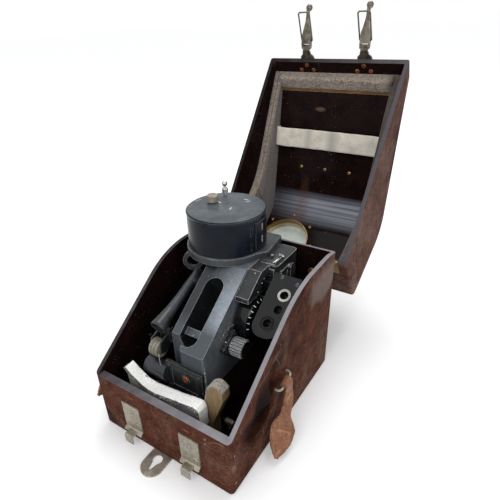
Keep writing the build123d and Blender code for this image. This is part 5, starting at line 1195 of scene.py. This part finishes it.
pinned = pad.vertex_groups.new(name="glued")
depth_of = np.repeat(np.arange(len(pad_rings)), section_count)
for index, vertex in enumerate(pad.data.vertices):
    (x, z), (tx, tz) = cradle_line[depth_of[index]], cradle_ways[depth_of[index]]
    depth = (vertex.co.x / mm - x) * tz - (vertex.co.z / mm - z) * tx
    if depth > 5.6:
        pinned.add([index], 1.0, "REPLACE")
cloth = pad.modifiers.new("blow up", "CLOTH")
cloth.settings.mass = 0.2
cloth.settings.tension_stiffness = 12
cloth.settings.bending_stiffness = 0.4
cloth.settings.use_pressure = True
cloth.settings.uniform_pressure_force = 2.2
cloth.settings.vertex_group_mass = "glued"
cloth.settings.effector_weights.gravity = 0.2
cloth.point_cache.frame_end = 16
for frame_number in range(1, 17):
    scene.frame_set(frame_number)
blown = bpy.data.meshes.new_from_object(pad.evaluated_get(bpy.context.evaluated_depsgraph_get()))
scene.frame_set(1)
pad.modifiers.remove(cloth)
start = np.array([v.co[:] for v in pad.data.vertices])
moved = np.array([v.co[:] for v in blown.vertices])
push = moved - start
length = np.linalg.norm(push, axis=1, keepdims=True)
push *= np.minimum(1.0, 0.0012 / np.maximum(length, 1e-9))
for vertex, place in zip(pad.data.vertices, start + push):
    vertex.co = place
print("pad blown up, largest push", float(length.max()))
for vertex in pad.data.vertices:
    spot = np.array(vertex.co[:]) / mm
    vertex.co = (spot + wobble(spot, 0.16, 0.5) + wobble(spot, 0.7, 0.16)) * mm
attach(pad, "base")
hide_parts("cradle_foam")
fuzz = grow("padded_strip_fuzz", pad.data, fibre_tree, {
    "Density": 260000.0, "Length": 0.0013, "Thickness": 0.00005, "Seed": 5, "Material": pad_cloth}, "base")

# %% Felt over the side block
block_path = rounded([(38.0, 62.0), (38.0, 76.0), (42.0, 98.0), (52.0, 105.0), (60.0, 98.0)],
                     [3, 8, 5], 1.5)
block_ways = tangents(block_path)
rings = []
for (x, z), (tx, tz) in zip(block_path, block_ways):
    out_way = np.array([-tz, 0.0, tx])
    centre = np.array([x, 45.0, z]) + out_way * 0.95
    ring = strip_ring(centre, np.array([0.0, 1.0, 0.0]), out_way, 6.8, 0.75, 11)
    rings.append([(corner + wobble(corner, 0.14, 0.35) + wobble(corner, 0.6, 0.14)) * mm for corner in ring])
block_felt = skin("block_felt", rings, block_wool)
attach(block_felt, "base")
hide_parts("side_block_felt")
front_fuzz = grow("cradle_board_fuzz", world_mesh(nodes["cradle_board"]), fibre_tree, {
    "Density": 120000.0, "Length": 0.0013, "Thickness": 0.00006, "Seed": 6, "Material": charcoal_wool}, "base")
fuzz = grow("block_felt_fuzz", block_felt.data, fibre_tree, {
    "Density": 300000.0, "Length": 0.0014, "Thickness": 0.00005, "Seed": 8, "Material": block_wool}, "base")
print("soft pieces done")

# %% [markdown]
# ## Small trim
#
# What makes the instrument read as real is its small trim: slots in screw heads, white ticks
# round the dial, fittings on the rear casting, a bent wire by the roller. Slots and ticks repeat,
# so one Geometry Nodes tree puts a thin bar on every point of a small cloud of points, each with
# its own turn and size. The fittings are bevelled pieces built one by one.

# %% A Geometry Nodes tree that puts bars on points
bar_tree, g, inp, out = node_geometry("bars on points", [
    ("Length", number), ("Width", number), ("Height", number), ("Material", "NodeSocketMaterial")])
sizes = g.add("ShaderNodeCombineXYZ", {0: inp.outputs["Length"], 1: inp.outputs["Width"], 2: inp.outputs["Height"]})
one_bar = g.add("GeometryNodeMeshCube", {"Size": sizes.outputs[0], "Vertices X": 4, "Vertices Y": 2, "Vertices Z": 2})
turns = g.add("GeometryNodeInputNamedAttribute", {"Name": "turn"}, data_type="FLOAT_VECTOR")
scales = g.add("GeometryNodeInputNamedAttribute", {"Name": "size"}, data_type="FLOAT")
way = g.add("FunctionNodeEulerToRotation", {0: turns.outputs["Attribute"]})
bars = g.add("GeometryNodeInstanceOnPoints", {
    "Points": inp.outputs["Geometry"], "Instance": one_bar.outputs[0],
    "Rotation": way.outputs[0], "Scale": scales.outputs["Attribute"]})
real = g.add("GeometryNodeRealizeInstances", {"Geometry": bars.outputs[0]})
painted = g.add("GeometryNodeSetMaterial", {"Geometry": real.outputs[0], "Material": inp.outputs["Material"]})
g.tree.links.new(painted.outputs[0], out.inputs["Geometry"])


def upright(facing_way, along_way):
    """Euler angles of a bar lying along one way on a face that looks another way."""
    z = Vector(facing_way).normalized()
    x = (Vector(along_way) - z * Vector(along_way).dot(z)).normalized()
    return Matrix((x, z.cross(x), z)).transposed().to_euler()


def put_bars(name, marks, length, width, height, material, body):
    """Bars at marks of (place in metres, facing, along, size), sizes in millimetres."""
    cloud = bpy.data.meshes.new(name + " points")
    cloud.from_pydata([tuple(mark[0]) for mark in marks], [], [])
    cloud.attributes.new("turn", "FLOAT_VECTOR", "POINT")
    cloud.attributes.new("size", "FLOAT", "POINT")
    for index, (place, facing_way, along_way, size) in enumerate(marks):
        cloud.attributes["turn"].data[index].vector = upright(facing_way, along_way)
        cloud.attributes["size"].data[index].value = size
    made = grow(name, cloud, bar_tree, {
        "Length": length * mm, "Width": width * mm, "Height": height * mm, "Material": material}, body)
    return made


white_mark = finish("white filled mark", srgb(168, 168, 162), srgb(228, 228, 222), tone=300,
                    rough=(0.5, 0.7), chips=srgb(60, 60, 60), chip_amount=0.3, chip_scale=1500,
                    grain_height=0.004)
slot_dark = finish("dirt in a slot", srgb(12, 10, 8), srgb(34, 28, 22), tone=300, rough=(0.7, 0.9),
                   grain_height=0.004)


def fastener_tops(node_name, facing_way, count_limit=40):
    """Where the heads of a node's separate solids end along a way, and each one's facing."""
    mesh = world_mesh(nodes[node_name])
    made = bmesh.new()
    made.from_mesh(mesh)
    bmesh.ops.remove_doubles(made, verts=made.verts, dist=1e-6)
    seen, tops = set(), []
    for start in made.verts:
        if start.index in seen:
            continue
        stack, island = [start], []
        seen.add(start.index)
        while stack:
            vertex = stack.pop()
            island.append(vertex.co.copy())
            for edge in vertex.link_edges:
                other = edge.other_vert(vertex)
                if other.index not in seen:
                    seen.add(other.index)
                    stack.append(other)
        points = np.array([tuple(point) for point in island])
        centre = (points.min(axis=0) + points.max(axis=0)) / 2
        way = unit(facing_way(centre) if callable(facing_way) else facing_way)
        reach = (points @ way).max()
        near = points[points @ way > reach - 0.0007]
        tops.append((near.mean(axis=0) + way * (reach - (near.mean(axis=0) @ way)), way))
    made.free()
    bpy.data.meshes.remove(mesh)
    return tops[:count_limit]


# %% Slots, ticks and marks
rng = np.random.default_rng(11)
slope_inward = lid_way(0.0, math.sin(slope_angle), -math.cos(slope_angle))
slot_sets = [
    ("catch_rivets", (0, -1, 0), "base", 2.6, "nickel"),
    ("hinge_bolts", (0, -1, 0), "base", 2.4, "brass"),
    ("panel_screws", slope_inward, "lid", 3.4, "brass"),
    ("dome_screws", -lid_way(0, 0, 1), "lid", 3.0, "brass"),
    ("latch_rivets", lid_way(0, 1, 0), "lid", 1.6, "brass"),
    ("board_pins", (0, -1, 0), "base", 0.9, "brass"),
]
for node_name, facing_way, body, length, slot_name in slot_sets:
    marks = []
    for top, way in fastener_tops(node_name, facing_way):
        spin = rng.uniform(0, math.pi)
        helper = Vector((math.cos(spin), 0.3, math.sin(spin)))
        marks.append((top, way, helper, 1.0))
    put_bars(node_name + "_slots", marks, length, 0.55, 0.16, slot_dark, body)

dial_centre = np.array([0.048, 0.138, 0.126])
dial_marks = []
for degrees in range(78, 180, 16):
    angle = math.radians(degrees)
    way = np.array([0.0, math.cos(angle), math.sin(angle)])
    dial_marks.append((dial_centre + way * 0.0257 - np.array([0.0010, 0, 0]),
                       unit(way + np.array([1.0, 0, 0])), way - np.array([1.0, 0, 0]), 1.0))
put_bars("dial_ticks", dial_marks, 3.0, 1.0, 0.25, white_mark, "index_dial")

drum_marks = []
for place, along, size in (((-66.4, 181.1), (0.6, 1.0), 0.7), ((-65.2, 186.0), (0.5, 1.0), 0.6),
                           ((-14.4, 213.4), (0.83, 0.56), 0.9), ((-9.2, 209.6), (0.83, 0.56), 0.9),
                           ((-15.7, 180.5), (-0.2, 1.0), 1.1), ((-38.4, 190.7), (1.0, -0.45), 1.0)):
    drum_marks.append((Vector((place[0], place[1], 238.06)) * mm, (0, 0, 1), (along[0], along[1], 0), size))
put_bars("drum_marks", drum_marks, 5.4, 1.2, 0.18, white_mark, "sextant")


# %% Fittings built from bevelled pieces
def plate(made, centre, along, up, size, bevel=0.35):
    """Adds a bevelled plate to a bmesh: its centre, two ways and its size in millimetres."""
    x = Vector(along).normalized()
    z = (Vector(up) - x * Vector(up).dot(x)).normalized()
    frame_of = Matrix((x, z.cross(x), z)).transposed().to_4x4()
    frame_of.translation = Vector(centre) * mm
    spread = frame_of @ Matrix.Diagonal((size[0] * mm, size[1] * mm, size[2] * mm, 1.0))
    new = bmesh.ops.create_cube(made, size=1.0, matrix=spread)["verts"]
    rim = {edge for vertex in new for edge in vertex.link_edges}
    bmesh.ops.bevel(made, geom=list(rim), offset=bevel * mm, segments=2, profile=0.6, affect="EDGES")


def boss(made, centre, axis, radius, height, dish=0.0, sides=28):
    """Adds a turned boss standing along an axis, with a rounded rim and a dished top."""
    axis = unit(axis)
    side = unit(np.cross(axis, (0.3, 0.8, 0.5)))
    other = np.cross(axis, side)
    profile = [(radius, 0.0), (radius, height - 0.3 * radius), (radius * 0.93, height - 0.1 * radius),
               (radius * 0.8, height), (radius * 0.55, height - dish * 0.4), (radius * 0.3, height - dish)]
    rows = []
    for r, h in profile:
        rows.append([made.verts.new((np.array(centre, float) + axis * h
                                     + (side * math.cos(a) + other * math.sin(a)) * r) * mm)
                     for a in np.linspace(0, 2 * math.pi, sides, endpoint=False)])
    for low, high in zip(rows, rows[1:]):
        for k in range(sides):
            m = (k + 1) % sides
            made.faces.new((low[k], low[m], high[m], high[k]))
    made.faces.new(rows[-1])
    made.faces.new(rows[0][::-1])


def fitted(name, made, material, body):
    """Turns a bmesh into a piece that rides on a body."""
    bmesh.ops.recalc_face_normals(made, faces=made.faces)
    mesh = bpy.data.meshes.new(name)
    made.to_mesh(mesh)
    made.free()
    mesh.materials.append(material)
    mesh.shade_smooth()
    piece = link_object(name, mesh)
    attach(piece, body)
    return piece


def arc_band(name, centre, inner, outer, x_low, x_high, start, stop, material, body):
    """A curved band round an X axis: a ring sector with slightly rounded edges."""
    rings = []
    soft = 0.25
    for angle in np.linspace(math.radians(start), math.radians(stop), 34):
        way = np.array([0.0, math.cos(angle), math.sin(angle)])
        ring = []
        for x, r in ((x_low + soft, inner), (x_high - soft, inner), (x_high, inner + soft), (x_high, outer - soft),
                     (x_high - soft, outer), (x_low + soft, outer), (x_low, outer - soft), (x_low, inner + soft)):
            ring.append((np.array([x, centre[0], centre[1]]) + way * r) * mm)
        rings.append(ring)
    piece = skin(name, rings, material, smooth=False)
    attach(piece, body)
    return piece


# The shroud hooks over the dial's top; the scale arc, black with white marks, stands by the index knob.
arc_band("dial_shroud", (138, 126), 28.1, 30.6, 29.5, 49.2, 15, 75, gloss_black, "sextant")
arc_band("dial_shroud_lip", (138, 126), 24.0, 30.4, 48.6, 49.6, 55, 75, gloss_black, "sextant")
arc_band("scale_arc", (103, 106.5), 21.0, 25.0, 27.1, 28.1, 62, 146, black_casting, "sextant")
scale_marks = []
for index, degrees in enumerate(np.linspace(66, 142, 15)):
    angle = math.radians(degrees)
    way = np.array([0.0, math.cos(angle), math.sin(angle)])
    scale_marks.append((np.array([0.02815, 0.103, 0.1065]) + way * 0.0231, (1, 0, 0), way, 1.2 if index % 5 == 0 else 0.8))
put_bars("scale_marks", scale_marks, 2.2, 0.7, 0.12, white_mark, "sextant")

# Fittings on the rear casting and its shelf.
made = bmesh.new()
for centre, along, up, size in (
        ((41.0, 172.0, 184.6), (1, 0, 0), (0, 0, 1), (17, 7, 1.6)),
        ((49.0, 180.0, 186.4), (0, 1, 0), (0, 0, 1), (20, 5, 4.6)),
        ((36.5, 160.0, 173.6), (0, 0.82, 0.57), (0, -0.57, 0.82), (19, 6, 1.6)),
        ((41.5, 150.0, 166.4), (0, 0.82, 0.57), (0, -0.57, 0.82), (12, 2.4, 2.6)),
        ((33.0, 147.0, 164.6), (1, 0, 0), (0, -0.57, 0.82), (5, 3.4, 2.2)),
        ((54.6, 188.0, 168.0), (0, 1, 0), (1, 0, 0), (24, 12, 1.8)),
        ((54.8, 182.0, 152.0), (0, 0.4, 1), (1, 0, 0), (22, 4, 2.0)),
        ((54.6, 205.0, 158.0), (0, 0, 1), (1, 0, 0), (26, 7, 2.0)),
        ((45.2, 166.5, 176.0), (1, 0, 0), (0, -1, 0), (12, 9, 2.0))):
    plate(made, centre, along, up, size)
for centre, axis, radius, height in (
        ((33.5, 166.0, 178.6), (0, -0.57, 0.82), 2.2, 2.4), ((40.5, 156.5, 171.4), (0, -0.57, 0.82), 1.7, 3.0),
        ((47.0, 189.5, 184.0), (0, 0, 1), 2.6, 5.0), ((38.0, 186.0, 184.0), (0, 0, 1), 1.8, 3.6),
        ((54.0, 176.0, 160.0), (1, 0, 0), 3.0, 3.4), ((54.0, 196.0, 172.0), (1, 0, 0), 2.0, 2.8)):
    boss(made, centre, axis, radius, height, 0.3)
fitted("casting_fittings", made, chipped_casting, "sextant")

# Bright worn bits among them: a lever, a wire clip and screw heads.
made = bmesh.new()
for centre, along, up, size in (
        ((50.0, 172.5, 189.2), (0.3, 1, 0.2), (0, 0, 1), (9, 1.8, 1.0)),
        ((43.8, 153.0, 170.4), (0, 0.82, 0.57), (0, -0.57, 0.82), (7, 1.3, 0.9)),
        ((56.0, 190.0, 163.0), (0, 0.3, 1), (1, 0, 0), (12, 1.3, 1.0)),
        ((34.6, 153.0, 169.4), (0.7, 0.5, 0.3), (0, -0.57, 0.82), (5, 1.0, 0.8))):
    plate(made, centre, along, up, size, 0.2)
for centre, axis, radius, height in (
        ((31.5, 160.5, 174.2), (0, -0.57, 0.82), 1.4, 0.9), ((43.5, 142.0, 161.0), (0, -0.57, 0.82), 1.2, 0.8),
        ((52.0, 186.0, 188.4), (0, 0, 1), 1.5, 1.2), ((55.4, 200.0, 168.0), (1, 0, 0), 1.5, 1.0),
        ((55.4, 181.0, 143.0), (1, 0, 0), 1.4, 1.0)):
    boss(made, centre, axis, radius, height, 0.2, 20)
for centre, axis, radius, height in (
        ((33.0, 88.5, 121.0), (1, 0, 0), 1.3, 0.8), ((33.0, 112.0, 96.5), (1, 0, 0), 1.3, 0.8)):
    boss(made, centre, axis, radius, height, 0.2, 20)
fitted("casting_bright_bits", made, steel, "sextant")

# Copper stud in the front cover's button.
made = bmesh.new()
boss(made, (3.5, 47.6, 83.0), (0, -1, 0), 4.4, 1.3, 0.5, 32)
fitted("cover_stud", made, copper, "sextant")

# Raised window plate on the drum's side with two pale slots.
rings = []
for degrees in np.linspace(-13.0, 21.0, 20):
    way = np.array([math.cos(math.radians(degrees)), math.sin(math.radians(degrees)), 0.0])
    ring = []
    for r, z in ((47.9, 197.0), (49.0, 197.0), (49.3, 197.4), (49.3, 230.6), (49.0, 231.0), (47.9, 231.0)):
        ring.append((np.array([-24.0, 183.0, z]) + way * r) * mm)
    rings.append(ring)
window = skin("drum_window_plate", rings, drum_paint_painted_sheen, smooth=False)
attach(window, "sextant")
window_marks = []
for degrees, middle in ((1.0, 222.5), (1.0, 207.0)):
    way = np.array([math.cos(math.radians(degrees)), math.sin(math.radians(degrees)), 0.0])
    window_marks.append((np.array([-0.024, 0.183, middle * mm]) + way * 0.04935, way, (0, 0, 1), 1.0))
put_bars("drum_window_slots", window_marks, 9.0, 2.2, 0.2, ivory, "sextant")

# Bare metal where the nose's corner has been knocked.
knocks = []
for height, size in ((104.5, 0.5), (99.0, 0.9), (93.5, 0.6), (88.0, 1.1), (82.5, 0.5), (77.0, 1.0), (72.0, 0.7),
                     (68.0, 0.5)):
    knocks.append((Vector((27.06, 54.4 + 0.5 * math.sin(height), height)) * mm, (1, 0, 0), (0, 0.12, 1), size))
put_bars("nose_knocks", knocks, 4.4, 1.8, 0.2, white_mark, "sextant")

# Bent wire from the lens fork down to the pad.
wire_path = rounded([(104.0, -33.0), (96.0, -33.5), (74.0, -30.5), (68.0, -33.5)], [3.0, 4.0], 0.8)
rings = []
for (z, x), (tz, tx) in zip(wire_path, tangents(wire_path)):
    way = unit((tx, 0.0, tz))
    side = unit(np.cross(way, (0.0, 1.0, 0.0)))
    centre = np.array([x, 47.2, z])
    rings.append([(centre + (side * math.cos(a) + np.array([0, 1, 0]) * math.sin(a)) * 0.75) * mm
                  for a in np.linspace(0, 2 * math.pi, 10, endpoint=False)])
wire = skin("bent_wire", rings, steel)
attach(wire, "sextant")
print("trim done")

# %% [markdown]
# ## Floor finish
#
# The floor is matt white and gives a little light of its own to the camera, so that it stays
# white where nothing shades it and keeps the soft shadow where the case does.

# %% Floor finish
floor_material, g, shader = new_material("white sweep")
path = g.add("ShaderNodeLightPath").outputs
seen = g.math("MAXIMUM", path["Is Camera Ray"], path["Is Glossy Ray"])
seen = g.math("MAXIMUM", seen, path["Is Transmission Ray"])
flat_place = g.vector("MULTIPLY", g.place(), (1.0, 1.0, 0.0))
away = g.vector("DOT_PRODUCT", flat_place, flat_place)
glow = g.math("MULTIPLY", seen, g.remap(away, 0.12, 3.0, 0.14, 0.5))
set_inputs(g, shader, {
    "Base Color": (0.80, 0.80, 0.80, 1), "Roughness": 0.95, "Specular IOR Level": 0.0,
    "Emission Color": (1.0, 1.0, 1.0, 1), "Emission Strength": glow})
floor.data.materials.append(floor_material)
